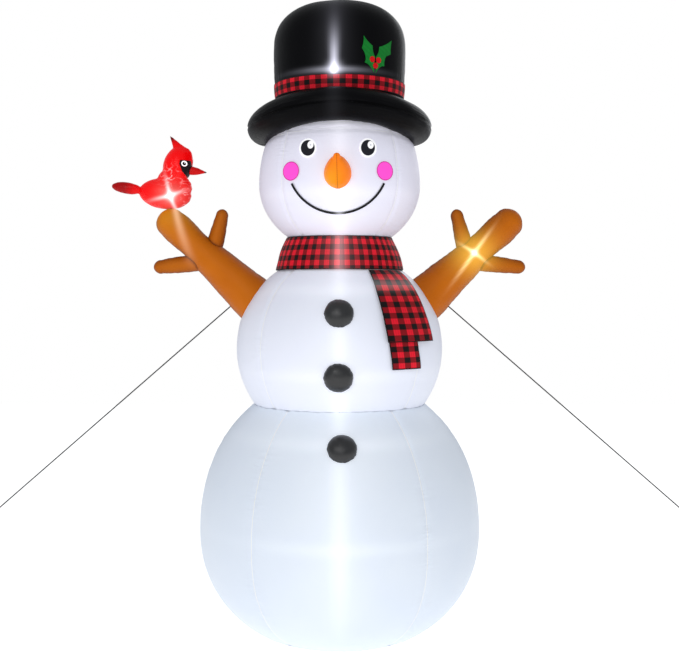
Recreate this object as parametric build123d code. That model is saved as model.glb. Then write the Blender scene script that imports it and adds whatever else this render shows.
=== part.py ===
from build123d import *
import math
import os

# Inflatable yard snowman with a bird on one arm.
# Millimetres. Origin: centre of the base on the ground. +Z up, the face looks along -Y, +X is the
# viewer's right. Fabric pieces are modelled as thin shells that hold the inflated shape.

# ---- Driving dimensions -------------------------------------------------------------------------
WALL = 3.0            # shell thickness that stands for the fabric
GAP = 0.4             # clearance between a sewn-on piece and the fabric under it

BASE_R = 322.0        # base circle on the ground
BELLY_R, BELLY_Z = 550.0, 402.0
WAIST_R, WAIST_Z = 336.0, 886.0
CHEST_R, CHEST_Z = 404.0, 1100.0
COLLAR_LOW_R, COLLAR_LOW_Z = 252.0, 1408.0
COLLAR_TOP_R, COLLAR_TOP_Z = 208.0, 1536.0
COLLAR_T = 5.0        # folded scarf cloth
SHOULDER_R = 243.0    # chest fabric at the collar's lower edge
NECK_R = 202.0        # neck at the head
HEAD_R, HEAD_Z = 316.0, 1740.0
BROW_R, BROW_Z = 259.0, 1972.0        # head meets hat inside the brim
HAT_LOW_R, HAT_LOW_Z = 248.0, 2068.0
HAT_R, HAT_Z = 258.0, 2259.0
TOTAL_H = 2440.0

BRIM_MID_R, BRIM_Z, BRIM_TUBE_R = 297.0, 1985.0, 63.0
BAND_LOW_Z, BAND_TOP_Z, BAND_T = 2072.0, 2127.0, 2.0

ARM_ROOT = (340.0, 0.0, 1300.0)       # arm axis where it leaves the chest, right side
ARM_TILT = 42.4                       # degrees above level
ARM_RADII = [(-90, 99), (0, 86), (120, 74), (221, 64.5), (300, 55), (390, 59.5), (440, 56)]
ARM_TIP_S = 491.0
ARM_DOOR_R, ARM_DOOR_DEPTH = 60.0, 120.0      # air opening from the chest into an arm
AIR_HOLE_R = 8.0                      # opening behind a button, in the brim and under the bird
TWIGS = {                             # root centre, tip centre (X, Z), root radius, tip radius
    "upper_twig": ((500.0, 1470.0), (462.0, 1620.0), 31.0, 28.5),
    "lower_twig": ((540.0, 1440.0), (700.0, 1422.0), 32.0, 31.0),
}

FACE_X = -6.0
EYE_X, EYE_Z, EYE_W, EYE_H = 110.0, 1850.0, 64.0, 72.0
CHEEK_X, CHEEK_Z, CHEEK_W, CHEEK_H = 173.0, 1768.0, 61.0, 70.0
SMILE_R, SMILE_Z, SMILE_W, SMILE_HALF_ANGLE = 186.0, 1798.0, 8.0, 66.0
NOSE_R, NOSE_Z, NOSE_TIP = 50.0, 1753.0, (-10.0, -424.0, 1811.0)
PATCH_T, PRINT_T = 1.6, 1.2           # sewn-on cloth of the snowman and of the bird

BUTTON_R, BUTTON_H = 54.0, 38.0
BUTTONS = {"button_top": (-2.0, 1247.0), "button_middle": (-4.0, 1016.0), "button_bottom": (9.0, 769.0)}

SCARF_AZ = 42.0                       # direction of the tails, from the front towards +X
SCARF_TAB = [(-88, 1387), (-74, 1407), (88, 1407), (99, 1387)]
FRONT_TAIL = [(-86, 1384), (-110, 1318), (-124, 1220), (-123, 1142), (104, 1142), (90, 1250), (98, 1384)]
REAR_TAIL = [(-78, 1384), (-108, 1240), (-112, 1141), (-98, 1041), (40, 1042), (20, 1141), (40, 1384)]

HOLLY_AZ = 31.0
LEFT_LEAF = [(-4, 2133), (-17, 2150), (-44, 2169), (-42, 2193),
             (-56, 2220), (-49, 2266), (-13, 2232), (-2, 2193)]
RIGHT_LEAF = [(2, 2133), (13, 2150), (42, 2164), (49, 2200),
              (74, 2212), (79, 2264), (16, 2231), (2, 2193)]
BERRIES = [(-13, 2183), (14, 2182), (1, 2161)]
BERRY_R = 11.5

EGG_POINTS = 13                       # points that draw half of an egg's outline
BIRD_BODY_SHAPE = (((-788.0, 1719.0), (-579.0, 1697.0)), 62.0)     # ends of the long axis, half width
BIRD_HEAD_SHAPE = (((-657.0, 1742.0), (-615.0, 1893.0)), 56.0)
BIRD_TAIL_SHAPE = (((-780.0, 1723.0), (-898.0, 1741.0)), 25.0)
CREST_BASE, CREST_TIP, CREST_R = (-606.0, 1850.0), (-665.0, 1936.0), 30.0
BEAK_BASE, BEAK_TIP, BEAK_R = (-592.0, 1800.0), (-521.0, 1791.0), 16.0
BIRD_MASK = [(-617, 1834), (-566, 1834), (-566, 1772), (-595, 1771), (-611, 1792), (-620, 1820)]
BIRD_EYE, BIRD_EYE_R = (-602.0, 1821.0), 10.6
BIRD_LEAD = (-660.0, -12.0)           # X and Y of the lamp's lead from the arm into the bird

BLOWER_Z, BLOWER_R, BLOWER_WALL = 235.0, 64.0, 3.0
BLOWER_IN_Y, BLOWER_OUT_Y = 452.0, 592.0
CUFF_T, CUFF_END_Y = 2.0, 574.0
GRILLE_T, GRILLE_SLOTS = 4.0, 12
MOUNT_Y, MOUNT_T = 560.0, 6.0
MOTOR_R, MOTOR_Y = 23.0, 522.0
SHAFT_R, SHAFT_IN_Y, SHAFT_OUT_Y = 2.5, 500.0, 548.0
IMPELLER_Y, IMPELLER_W, IMPELLER_R, BLADES = 501.0, 16.0, 56.0, 7
INLET_Y, INLET_R, INLET_BORE_R, INLET_DROP = 581.0, 8.0, 3.5, 18.0

ZIP_FROM, ZIP_TO = 70.0, 110.0        # azimuth about +Z from +X, degrees
ZIP_SLIDER_AT = 72.0
COIL_IN, COIL_OUT, COIL_HALF = 553.0, 556.0, 3.6
ZIP_SPLIT = 0.6                       # half gap between the two coils
PULL_PIVOT_R = 561.2

ROPE_R = 2.5
ROPE_ANCHOR = (372.0, 84.0, 1323.0)   # on the back of the arm, right side
ROPE_FAR = (1494.0, 250.0, 361.0)     # far end of the end loop, right side
RING_R, RING_WIRE_R = 11.0, 1.8
KNOT_R, KNOT_L = 6.5, 20.0
END_LOOP_R = 22.0

TAB_AZIMUTHS = (12.0, 62.0, 118.0, 168.0)
TAB_REACH, TAB_HALF_W, TAB_LOW, TAB_T = 385.0, 22.0, 1.2, 2.0
GROMMET_AT, GROMMET_R, GROMMET_BORE_R, GROMMET_TUBE = 363.0, 12.0, 6.0, 2.0

LEAD_R, LED_R, LED_L = 2.5, 11.0, 30.0
LED_HEIGHTS = (330.0, 700.0, 1130.0, 1760.0, 2150.0)
BRANCH_Z, ARM_LED_AT, BIRD_LED_Z = 1180.0, 190.0, 1672.0      # leads to the arms and their lamps


# ---- Profiles and basic solids ------------------------------------------------------------------
def bulge(r_end, z_end, r_widest, z_widest, power, count=9):
    """Superellipse arc from an end circle to the widest circle, as (radius, height) points."""
    reach = (z_end - z_widest) / (1 - (r_end / r_widest) ** power) ** (1 / power)
    points = []
    for i in range(count):
        share = math.sin(math.acos(min(1.0, r_end / r_widest)) * (1 - i / (count - 1)))
        z = z_widest + (z_end - z_widest) * share / math.sin(math.acos(min(1.0, r_end / r_widest)))
        points.append((r_widest * (1 - abs((z - z_widest) / reach) ** power) ** (1 / power), z))
    return points


def moved_out(points, distance):
    """The profile moved along its own normals, kept at or outside the axis."""
    result = []
    for i, (r, z) in enumerate(points):
        before, after = points[max(i - 1, 0)], points[min(i + 1, len(points) - 1)]
        dr, dz = after[0] - before[0], after[1] - before[1]
        length = math.hypot(dr, dz)
        result.append((max(r + distance * dz / length, 0.0), z - distance * dr / length))
    return result


def on_ends(points, reference):
    """Pins the first and last points to the heights of the reference profile."""
    first, last = (points[0][0], reference[0][1]), points[-1]
    if reference[-1][0] > 1.0:
        last = (points[-1][0], reference[-1][1])
    else:
        last = (0.0, points[-1][1])
    return [first, *points[1:-1], last]


BELLY = bulge(BASE_R, 0.0, BELLY_R, BELLY_Z, 2.22) + bulge(WAIST_R, WAIST_Z, BELLY_R, BELLY_Z, 2.11)[-2::-1]
CHEST = bulge(WAIST_R, WAIST_Z, CHEST_R, CHEST_Z, 2.0) + \
    bulge(SHOULDER_R, COLLAR_LOW_Z, CHEST_R, CHEST_Z, 2.05)[-2::-1]
HEAD = bulge(NECK_R, COLLAR_TOP_Z, HEAD_R, HEAD_Z, 2.0) + bulge(BROW_R, BROW_Z, HEAD_R, HEAD_Z, 1.95)[-2::-1]
NECK = [(SHOULDER_R, COLLAR_LOW_Z), (204.0, 1442.0), (NECK_R - 2, 1486.0), (NECK_R, COLLAR_TOP_Z)]
HAT = [(BROW_R, BROW_Z), (251.0, 2016.0)] + bulge(HAT_LOW_R, HAT_LOW_Z, HAT_R, HAT_Z, 2.0, 5) + \
    bulge(0.0, TOTAL_H, HAT_R, HAT_Z, 2.6, 14)[-2::-1]


def profile_at(points, z):
    """Radius of a profile at a height, between its points."""
    for (r0, z0), (r1, z1) in zip(points, points[1:]):
        if z0 <= z <= z1:
            return r0 + (r1 - r0) * (z - z0) / (z1 - z0)
    raise ValueError(z)


def in_profile_plane(*edges):
    """Face in the plane of X (radius) and Z (height) from edges drawn in those coordinates."""
    return Plane.XZ * make_face(edges)


def skin(points, inner, outer):
    """Layer of revolution between two offsets of a profile."""
    a = on_ends(moved_out(points, inner), points)
    b = on_ends(moved_out(points, outer), points)
    face = in_profile_plane(Spline(*a), Line(a[-1], b[-1]), Spline(*b), Line(b[0], a[0]))
    return revolve(face, Axis.Z)


def filled(points, offset):
    """Solid of revolution inside an offset profile."""
    b = on_ends(moved_out(points, offset), points)
    edges = [Spline(*b), Line((0, b[0][1]), b[0])]
    if b[-1][0] > 0:
        edges.append(Line(b[-1], (0, b[-1][1])))
    edges.append(Line((0, b[-1][1]), (0, b[0][1])))
    return revolve(in_profile_plane(*edges), Axis.Z)


def ring(r_in, r_out, z_low, z_high):
    """Flat ring of rectangular section about Z."""
    return Pos(0, 0, z_low) * extrude(Circle(r_out) - Circle(r_in), z_high - z_low)


def along(start, end):
    """Plane at start whose normal points to end."""
    return Plane(origin=start, z_dir=Vector(*end) - Vector(*start))


def rod(start, end, radius):
    """Round bar between two points."""
    length = (Vector(*end) - Vector(*start)).length
    return along(start, end) * extrude(Circle(radius), length)


def spindle(stations, tip_s, plane, inset=0.0):
    """Rounded body of revolution about a plane's normal: (distance, radius) stations and a tip."""
    points = [(max(r - inset, 1.0), s) for s, r in stations]
    tip = (0.0, tip_s - inset)
    edges = [
        Spline(*points, tip, tangents=[(points[1][0] - points[0][0], points[1][1] - points[0][1]), (-1, 0)]),
        Line(tip, (0.0, points[0][1])),
        Line((0.0, points[0][1]), points[0]),
    ]
    return plane * revolve(in_profile_plane(*edges), Axis.Z)


def egg(ends, half_width, inset=0.0):
    """Ellipse of revolution between two (X, Z) points in the plane of the arms."""
    (x0, z0), (x1, z1) = ends
    middle = math.hypot(x1 - x0, z1 - z0) / 2
    points = []
    for i in range(EGG_POINTS):
        angle = math.pi * i / (EGG_POINTS - 1)
        points.append(((half_width - inset) * math.sin(angle), middle - (middle - inset) * math.cos(angle)))
    face = in_profile_plane(Spline(*points, tangents=[(1, 0), (-1, 0)]), Line(points[-1], points[0]))
    return along((x0, 0, z0), (x1, 0, z1)) * revolve(face, Axis.Z)


def flat_outline(points):
    """Closed face from straight sides, in a plane's own coordinates."""
    return make_face(Polyline(*points, close=True))


def scalloped(points, depth):
    """Closed face whose sides are hollow arcs between its points."""
    edges = []
    centre = (sum(p[0] for p in points) / len(points), sum(p[1] for p in points) / len(points))
    for start, end in zip(points, points[1:] + points[:1]):
        middle = ((start[0] + end[0]) / 2, (start[1] + end[1]) / 2)
        inward = (centre[0] - middle[0], centre[1] - middle[1])
        length = math.hypot(*inward)
        hollow = (middle[0] + depth * inward[0] / length, middle[1] + depth * inward[1] / length)
        edges.append(ThreePointArc(start, hollow, end))
    return make_face(edges)


def facing(azimuth):
    """Upright plane through the axis whose normal points out at an azimuth from the front."""
    angle = math.radians(azimuth)
    out = (math.sin(angle), -math.cos(angle), 0)
    return Plane(origin=(0, 0, 0), x_dir=(math.cos(angle), math.sin(angle), 0), z_dir=out)


def patch(layer, outline, azimuth=0.0):
    """Part of a fabric layer inside an outline seen from an azimuth."""
    return layer & (facing(azimuth) * extrude(outline, 700))


def outermost(shape):
    """The largest solid of a cut shape, without what was left inside the fabric that cut it."""
    return max(shape.solids(), key=lambda solid: solid.volume)


def mirrored(shape):
    """The same shape on the other side of the snowman."""
    return mirror(shape, Plane.YZ)


def arc_block(r_in, r_out, z_low, z_high, from_deg, to_deg):
    """Curved bar about Z between two azimuths."""
    corners = Polyline((r_in, z_low), (r_out, z_low), (r_out, z_high), (r_in, z_high), close=True)
    face = in_profile_plane(*corners.edges())
    return Rot(0, 0, from_deg) * revolve(face, Axis.Z, revolution_arc=to_deg - from_deg)


# ---- Envelope -----------------------------------------------------------------------------------
def arm_plane():
    angle = math.radians(ARM_TILT)
    return Plane(origin=ARM_ROOT, x_dir=(0, 1, 0), z_dir=(math.cos(angle), 0, math.sin(angle)))


def arm_point(s):
    angle = math.radians(ARM_TILT)
    return (ARM_ROOT[0] + s * math.cos(angle), 0.0, ARM_ROOT[2] + s * math.sin(angle))


def base_panel():
    return extrude(Circle(BASE_R - WALL - GAP), WALL)


def lower_body():
    shell = skin(BELLY, -WALL, 0.0)
    opening = rod((0, 300, BLOWER_Z), (0, 700, BLOWER_Z), BLOWER_R + 0.5 + CUFF_T + 0.3)
    slit = arc_block(BELLY_R - 12, BELLY_R + 5, BELLY_Z - 1.5, BELLY_Z + 1.5, ZIP_FROM + 1, ZIP_TO - 1)
    return shell - opening - slit - air_hole("button_bottom")


def torso():
    inner = [(r - WALL, z) for r, z in NECK]
    inner[0] = (on_ends(moved_out(CHEST, -WALL), CHEST)[-1][0], COLLAR_LOW_Z)
    neck = revolve(in_profile_plane(*Polyline(*NECK, *inner[::-1], close=True).edges()), Axis.Z)
    doors = rod(arm_point(-ARM_DOOR_DEPTH), arm_point(ARM_DOOR_DEPTH), ARM_DOOR_R)
    shell = skin(CHEST, -WALL, 0.0) + neck - doors - mirrored(doors)
    return shell - air_hole("button_top") - air_hole("button_middle")


def head():
    return skin(HEAD, -WALL, 0.0) - rod((FACE_X, 0, NOSE_Z), (FACE_X, -400, NOSE_Z), 20)


def brim_holes():
    holes = []
    for i in range(6):
        angle = math.radians(60 * i + 30)
        holes.append(rod((200 * math.cos(angle), 200 * math.sin(angle), 2010),
                         (285 * math.cos(angle), 285 * math.sin(angle), 2010), AIR_HOLE_R))
    return holes


def hat_crown():
    return skin(HAT, -WALL, 0.0) - brim_holes()


def hat_brim():
    def tube(radius, clearance):
        solid = revolve(Plane.XZ * Pos(BRIM_MID_R, BRIM_Z) * Circle(radius), Axis.Z)
        return solid - filled(HEAD, clearance) - filled(HAT, clearance)
    return tube(BRIM_TUBE_R, GAP) - tube(BRIM_TUBE_R - WALL, GAP + WALL) - brim_holes()


def arm():
    """Right arm as a hollow tapering branch with a rounded end."""
    outer = spindle(ARM_RADII, ARM_TIP_S, arm_plane())
    inner = spindle([(ARM_RADII[0][0] - 5, ARM_RADII[0][1]), *ARM_RADII[1:]], ARM_TIP_S, arm_plane(), WALL)
    return (outer - filled(CHEST, GAP)) - inner


def arm_envelope(clearance):
    return spindle([(s, r + clearance) for s, r in ARM_RADII], ARM_TIP_S + clearance, arm_plane())


def twig(name):
    (x0, z0), (x1, z1), r_root, r_tip = TWIGS[name]
    plane = along((x0, 0, z0), (x1, 0, z1))
    length = math.hypot(x1 - x0, z1 - z0)
    stations = [(0, r_root), (length * 0.5, (r_root + r_tip) / 2), (length, r_tip * 0.98)]
    outer = spindle(stations, length + r_tip, plane)
    inner = spindle([(-5, r_root), *stations[1:]], length + r_tip, plane, WALL)
    return outer - inner - arm_envelope(GAP)


# ---- Face and sewn-on pieces --------------------------------------------------------------------
def face_layer():
    return skin(HEAD, GAP, GAP + PATCH_T)


def eye(side):
    return patch(face_layer(), Pos(FACE_X + side * EYE_X, EYE_Z) * Ellipse(EYE_W / 2, EYE_H / 2))


def cheek(side):
    return patch(face_layer(), Pos(FACE_X + side * CHEEK_X, CHEEK_Z) * Ellipse(CHEEK_W / 2, CHEEK_H / 2))


def smile_line():
    def arc(radius):
        return CenterArc((FACE_X, SMILE_Z), radius, 270 - SMILE_HALF_ANGLE, 2 * SMILE_HALF_ANGLE)
    outer, inner = arc(SMILE_R + SMILE_W / 2), arc(SMILE_R - SMILE_W / 2)
    outline = make_face([outer, Line(outer @ 1, inner @ 1), inner, Line(inner @ 0, outer @ 0)])
    return patch(face_layer(), outline)


def nose():
    root_y = -math.sqrt(profile_at(HEAD, NOSE_Z) ** 2 - FACE_X ** 2)
    start = Vector(FACE_X, root_y + 34, NOSE_Z - 14)
    reach = (Vector(*NOSE_TIP) - start).length
    plane = along(tuple(start), NOSE_TIP)
    stations = [(0, NOSE_R * 0.96), (reach * 0.3, NOSE_R),
                (reach * 0.6, NOSE_R * 0.68), (reach * 0.85, NOSE_R * 0.26)]
    outer = spindle(stations, reach, plane)
    inner = spindle([(-5, stations[0][1]), *stations[1:]], reach, plane, WALL)
    return outermost((outer - filled(HEAD, GAP)) - inner)


def button_place(name):
    """Point on the fabric and outward normal at a button."""
    x, z = BUTTONS[name]
    profile = BELLY if z < WAIST_Z else CHEST
    r = profile_at(profile, z)
    slope = (profile_at(profile, z + 5) - profile_at(profile, z - 5)) / 10
    y = -math.sqrt(r * r - x * x)
    return Vector(x, y, z), Vector(x / r, y / r, -slope).normalized(), profile


def air_hole(name):
    point, normal, _ = button_place(name)
    return rod(tuple(point - normal * 15), tuple(point + normal * 15), AIR_HOLE_R)


def button(name):
    """Padded dome sewn over an air hole."""
    point, normal, profile = button_place(name)
    plane = Plane(origin=point, z_dir=normal)
    dome = [(-BUTTON_H / 2, BUTTON_R * 0.99), (0, BUTTON_R), (BUTTON_H / 2, BUTTON_R * 0.866),
            (BUTTON_H * 0.87, BUTTON_R * 0.5)]
    outer = spindle(dome, BUTTON_H, plane)
    inner = spindle([(-BUTTON_H, BUTTON_R * 0.99), *dome[1:]], BUTTON_H, plane, WALL)
    return (outer - filled(profile, GAP)) - inner


def hat_band():
    low = profile_at(HAT, BAND_LOW_Z) + GAP
    high = profile_at(HAT, BAND_TOP_Z) + GAP
    corners = [(low + 0.6, BAND_LOW_Z), (low + 0.6 + BAND_T, BAND_LOW_Z),
               (high + 0.6 + BAND_T, BAND_TOP_Z), (high + 0.6, BAND_TOP_Z)]
    return revolve(in_profile_plane(*Polyline(*corners, close=True).edges()), Axis.Z)


def hat_layer(level):
    return skin(HAT, GAP + level, GAP + level + PATCH_T)


def holly_leaves():
    layer = hat_layer(0.2)
    return patch(layer, scalloped(LEFT_LEAF, 4), HOLLY_AZ) + patch(layer, scalloped(RIGHT_LEAF, 4), HOLLY_AZ)


def holly_berries():
    layer = hat_layer(0.2 + PATCH_T + 0.2)
    return [patch(layer, Pos(x, z) * Circle(BERRY_R), HOLLY_AZ) for x, z in BERRIES]


def scarf_collar():
    corners = [(COLLAR_LOW_R - COLLAR_T, COLLAR_LOW_Z), (COLLAR_LOW_R, COLLAR_LOW_Z),
               (COLLAR_TOP_R, COLLAR_TOP_Z), (COLLAR_TOP_R - COLLAR_T, COLLAR_TOP_Z)]
    return revolve(in_profile_plane(*Polyline(*corners, close=True).edges()), Axis.Z)


def scarf_tab():
    return patch(skin(CHEST, GAP, 3.0), flat_outline(SCARF_TAB), SCARF_AZ)


def scarf_front_tail():
    return patch(skin(CHEST, 6.6, 9.6), flat_outline(FRONT_TAIL), SCARF_AZ)


def scarf_rear_tail():
    return patch(skin(CHEST, 3.4, 6.4), flat_outline(REAR_TAIL), SCARF_AZ)


# ---- Bird on the arm at the viewer's left -------------------------------------------------------
def bird_hole():
    x, y = BIRD_LEAD
    return rod((x, y, 1600), (x, y, 1690), AIR_HOLE_R)


def bird_body():
    body = egg(*BIRD_BODY_SHAPE) - mirrored(arm_envelope(1.0)) - bird_hole()
    return outermost(body - egg(*BIRD_BODY_SHAPE, WALL))


def bird_head():
    shell = egg(*BIRD_HEAD_SHAPE) - egg(*BIRD_HEAD_SHAPE, WALL)
    return outermost(shell - egg(*BIRD_BODY_SHAPE, -GAP))


def bird_tail():
    shell = egg(*BIRD_TAIL_SHAPE) - egg(*BIRD_TAIL_SHAPE, WALL)
    return outermost(shell - egg(*BIRD_BODY_SHAPE, -GAP))


def point_cone(base, tip, radius, blunt):
    """Pointed fabric horn on the bird's head."""
    start, end = (base[0], 0, base[1]), (tip[0], 0, tip[1])
    length = math.hypot(tip[0] - base[0], tip[1] - base[1])
    solid = along(start, end) * Pos(0, 0, length / 2) * Cone(radius, blunt, length)
    return outermost(solid - egg(*BIRD_HEAD_SHAPE, -GAP))


def bird_crest():
    return point_cone(CREST_BASE, CREST_TIP, CREST_R, 1.5)


def bird_beak():
    return point_cone(BEAK_BASE, BEAK_TIP, BEAK_R, 1.5)


def head_layer():
    return egg(*BIRD_HEAD_SHAPE, -(GAP + PRINT_T)) - egg(*BIRD_HEAD_SHAPE, -GAP)


def bird_mask():
    eye_cut = Pos(*BIRD_EYE) * Circle(BIRD_EYE_R + GAP)
    outline = Plane.XZ * (flat_outline(BIRD_MASK) - eye_cut)
    beak = point_cone(BEAK_BASE, BEAK_TIP, BEAK_R + GAP, 2.0)
    return (head_layer() & extrude(outline, 100, both=True)) - beak


def bird_eyes():
    disc = Plane.XZ * Pos(*BIRD_EYE) * Circle(BIRD_EYE_R)
    return head_layer() & extrude(disc, 100, both=True)


# ---- Blower in the back -------------------------------------------------------------------------
def along_y(y_from, y_to, r_out, r_in=0.0):
    """Round bar or tube about the blower's axis."""
    section = Circle(r_out) - Circle(r_in) if r_in else Circle(r_out)
    plane = Plane(origin=(0, y_from, BLOWER_Z), x_dir=(1, 0, 0), z_dir=(0, 1, 0))
    return plane * extrude(section, y_to - y_from)


def blower_cuff():
    tube = along_y(460, CUFF_END_Y, BLOWER_R + 0.5 + CUFF_T, BLOWER_R + 0.5)
    return tube - filled(BELLY, -WALL - 0.3)


def cuff_band():
    radius = BLOWER_R + 0.5 + CUFF_T
    return along_y(560, 570, radius + 2.3, radius + 0.3)


def blower_housing():
    tube = along_y(BLOWER_IN_Y, BLOWER_OUT_Y, BLOWER_R, BLOWER_R - BLOWER_WALL)
    flange = along_y(CUFF_END_Y + 4, BLOWER_OUT_Y, BLOWER_R + 6, BLOWER_R - BLOWER_WALL)
    port = rod((0, INLET_Y, BLOWER_Z - BLOWER_R - 10), (0, INLET_Y, BLOWER_Z - 40), INLET_BORE_R + 1)
    return tube + flange - port


def intake_grille():
    disc = along_y(BLOWER_OUT_Y + 0.2, BLOWER_OUT_Y + 0.2 + GRILLE_T, BLOWER_R + 4)
    plane = Plane(origin=(0, BLOWER_OUT_Y - 5, BLOWER_Z), x_dir=(1, 0, 0), z_dir=(0, 1, 0))
    slots = []
    for r_mid in (24.0, 42.0):
        for i in range(GRILLE_SLOTS):
            angle = 360 / GRILLE_SLOTS * i
            slots.append(plane * Rot(0, 0, angle) * Pos(r_mid, 0) * extrude(SlotOverall(13, 5.5), 20))
    return disc - slots


def motor_mount():
    hub = along_y(MOUNT_Y, MOUNT_Y + MOUNT_T, MOTOR_R + 2)
    rim = along_y(MOUNT_Y, MOUNT_Y + MOUNT_T, BLOWER_R - BLOWER_WALL - 0.2, BLOWER_R - BLOWER_WALL - 4)
    arms = [Pos(0, MOUNT_Y + MOUNT_T / 2, BLOWER_Z) * Rot(0, 120 * i, 0) * Pos(41, 0, 0) * Box(36, MOUNT_T, 8)
            for i in range(3)]
    return hub + rim + arms


def motor():
    return along_y(MOTOR_Y, MOUNT_Y, MOTOR_R) - along_y(MOTOR_Y - 1, SHAFT_OUT_Y + 1, SHAFT_R + 0.06)


def motor_shaft():
    return along_y(SHAFT_IN_Y, SHAFT_OUT_Y, SHAFT_R)


def impeller():
    hub = along_y(IMPELLER_Y, IMPELLER_Y + IMPELLER_W, 14)
    middle = IMPELLER_Y + IMPELLER_W / 2
    blades = []
    for i in range(BLADES):
        blade = Pos(33, 0, 0) * Rot(38, 0, 0) * Box(50, 1.8, 22)
        blades.append(Pos(0, middle, BLOWER_Z) * Rot(0, 360 / BLADES * i, 0) * blade)
    limit = along_y(IMPELLER_Y - 1, IMPELLER_Y + IMPELLER_W + 1, IMPELLER_R)
    return ((hub + blades) & limit) - along_y(SHAFT_IN_Y - 5, SHAFT_OUT_Y, SHAFT_R)


def power_inlet():
    top = BLOWER_Z - (BLOWER_R + 6) - 0.1
    gland = rod((0, INLET_Y, top - INLET_DROP), (0, INLET_Y, top), INLET_R)
    nut = Pos(0, INLET_Y, top - 8) * extrude(RegularPolygon(INLET_R + 3, 6), 6)
    bore = rod((0, INLET_Y, top - INLET_DROP - 1), (0, INLET_Y, top + 1), INLET_BORE_R)
    return gland + nut - bore


# ---- Zipper across the back ---------------------------------------------------------------------
def zip_bars(r_in, r_out, half_from, half_to, from_deg, to_deg):
    """One bar above and one below the zipper's line."""
    upper = arc_block(r_in, r_out, BELLY_Z + half_from, BELLY_Z + half_to, from_deg, to_deg)
    lower = arc_block(r_in, r_out, BELLY_Z - half_to, BELLY_Z - half_from, from_deg, to_deg)
    return upper + lower


def zipper_tape():
    web = zip_bars(COIL_IN + 0.2, COIL_IN + 1.2, COIL_HALF + 0.2, 14, ZIP_FROM, ZIP_TO)
    sewn = zip_bars(BELLY_R + GAP, COIL_IN + 1.2, 14, 20, ZIP_FROM, ZIP_TO)
    return web + sewn


def zipper_coil():
    return zip_bars(COIL_IN, COIL_OUT, ZIP_SPLIT, COIL_HALF, ZIP_FROM + 0.7, ZIP_TO - 0.7)


def zipper_stops():
    low, high = BELLY_Z - COIL_HALF, BELLY_Z + COIL_HALF
    starts = (ZIP_FROM + 0.2, ZIP_TO - 0.55)
    return [arc_block(COIL_IN, COIL_OUT + 0.5, low, high, at, at + 0.35) for at in starts]


def zipper_slider():
    half = 1.15
    start, end = ZIP_SLIDER_AT - half, ZIP_SLIDER_AT + half
    low, high = BELLY_Z - 5.5, BELLY_Z + 5.5
    under = arc_block(BELLY_R + 1.2, COIL_IN - 0.4, low, high, start, end)
    over = arc_block(COIL_OUT + 1.0, COIL_OUT + 2.4, low, high, start, end)
    blade = arc_block(COIL_IN - 0.5, COIL_OUT + 1.1, BELLY_Z - 0.3, BELLY_Z + 0.3, start + 0.2, end - 0.2)
    top_r = COIL_OUT + 2.3
    post = Box(PULL_PIVOT_R - top_r + 0.6, 2.4, 1.4)
    posts = [Pos((top_r + PULL_PIVOT_R) / 2, 0, BELLY_Z + side * 3.4) * post for side in (-1, 1)]
    bar = Pos(PULL_PIVOT_R, 0, BELLY_Z - 4) * extrude(Circle(0.9), 8)
    return under + over + blade + Rot(0, 0, ZIP_SLIDER_AT) * (bar + posts)


def zipper_pull():
    eye = Pos(PULL_PIVOT_R, 0, BELLY_Z - 2.4) * extrude(Circle(2.3), 4.8)
    neck = Pos(PULL_PIVOT_R, -5, BELLY_Z) * Box(1.4, 8, 4.8)
    tab = Pos(PULL_PIVOT_R, -22, BELLY_Z) * Box(1.4, 28, 9)
    window = Pos(PULL_PIVOT_R, -27, BELLY_Z) * Box(5, 10, 4.5)
    bore = Pos(PULL_PIVOT_R, 0, BELLY_Z - 5) * extrude(Circle(1.1), 10)
    return Rot(0, 0, ZIP_SLIDER_AT) * (eye + neck + tab - window - bore)


# ---- Lights -------------------------------------------------------------------------------------
def lead(*points):
    """Thin cable along straight runs joined by arcs."""
    runs = [(Vector(*b) - Vector(*a)).length for a, b in zip(points, points[1:])]
    if len(points) == 2:
        return rod(points[0], points[1], LEAD_R)
    radii = []
    for before, here, after, run_in, run_out in zip(points, points[1:], points[2:], runs, runs[1:]):
        turn = (Vector(*here) - Vector(*before)).get_angle(Vector(*after) - Vector(*here))
        radii.append(0.45 * min(run_in, run_out) / math.tan(math.radians(turn / 2)))
    path = FilletPolyline(*points, radius=radii)
    section = Plane(origin=path @ 0, z_dir=path % 0) * Circle(LEAD_R)
    return sweep(section, path=path)


def led_lead():
    trunk = lead((0, BLOWER_IN_Y + 30, BLOWER_Z + 40), (0, 330, BLOWER_Z + 45), (0, 120, 300), (0, 0, 420),
                 (0, 0, TOTAL_H - 260))
    to_arm = [(LEAD_R + 0.3, 0, BRANCH_Z), (60, 0, BRANCH_Z + 10), (ARM_ROOT[0] - 60, 0, ARM_ROOT[2] - 40)]
    right = lead(*to_arm, arm_point(ARM_LED_AT))
    along_arm = [*to_arm, arm_point(200), arm_point(380)]
    x, y = BIRD_LEAD
    left = lead(*[(-px, py, pz) for px, py, pz in along_arm], (x, y, 1612), (x, y, BIRD_LED_Z))
    return [trunk, right, left]


def led_module(centre, direction=(0, 0, 1)):
    plane = Plane(origin=centre, z_dir=direction)
    upper = Pos(0, 0, LED_L / 2 + LED_R / 2) * Box(3 * LED_R, 3 * LED_R, LED_R)
    cap = Pos(0, 0, LED_L / 2) * Sphere(LED_R) & upper
    return plane * (Pos(0, 0, -LED_L / 2) * extrude(Circle(LED_R), LED_L) + cap)


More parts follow.
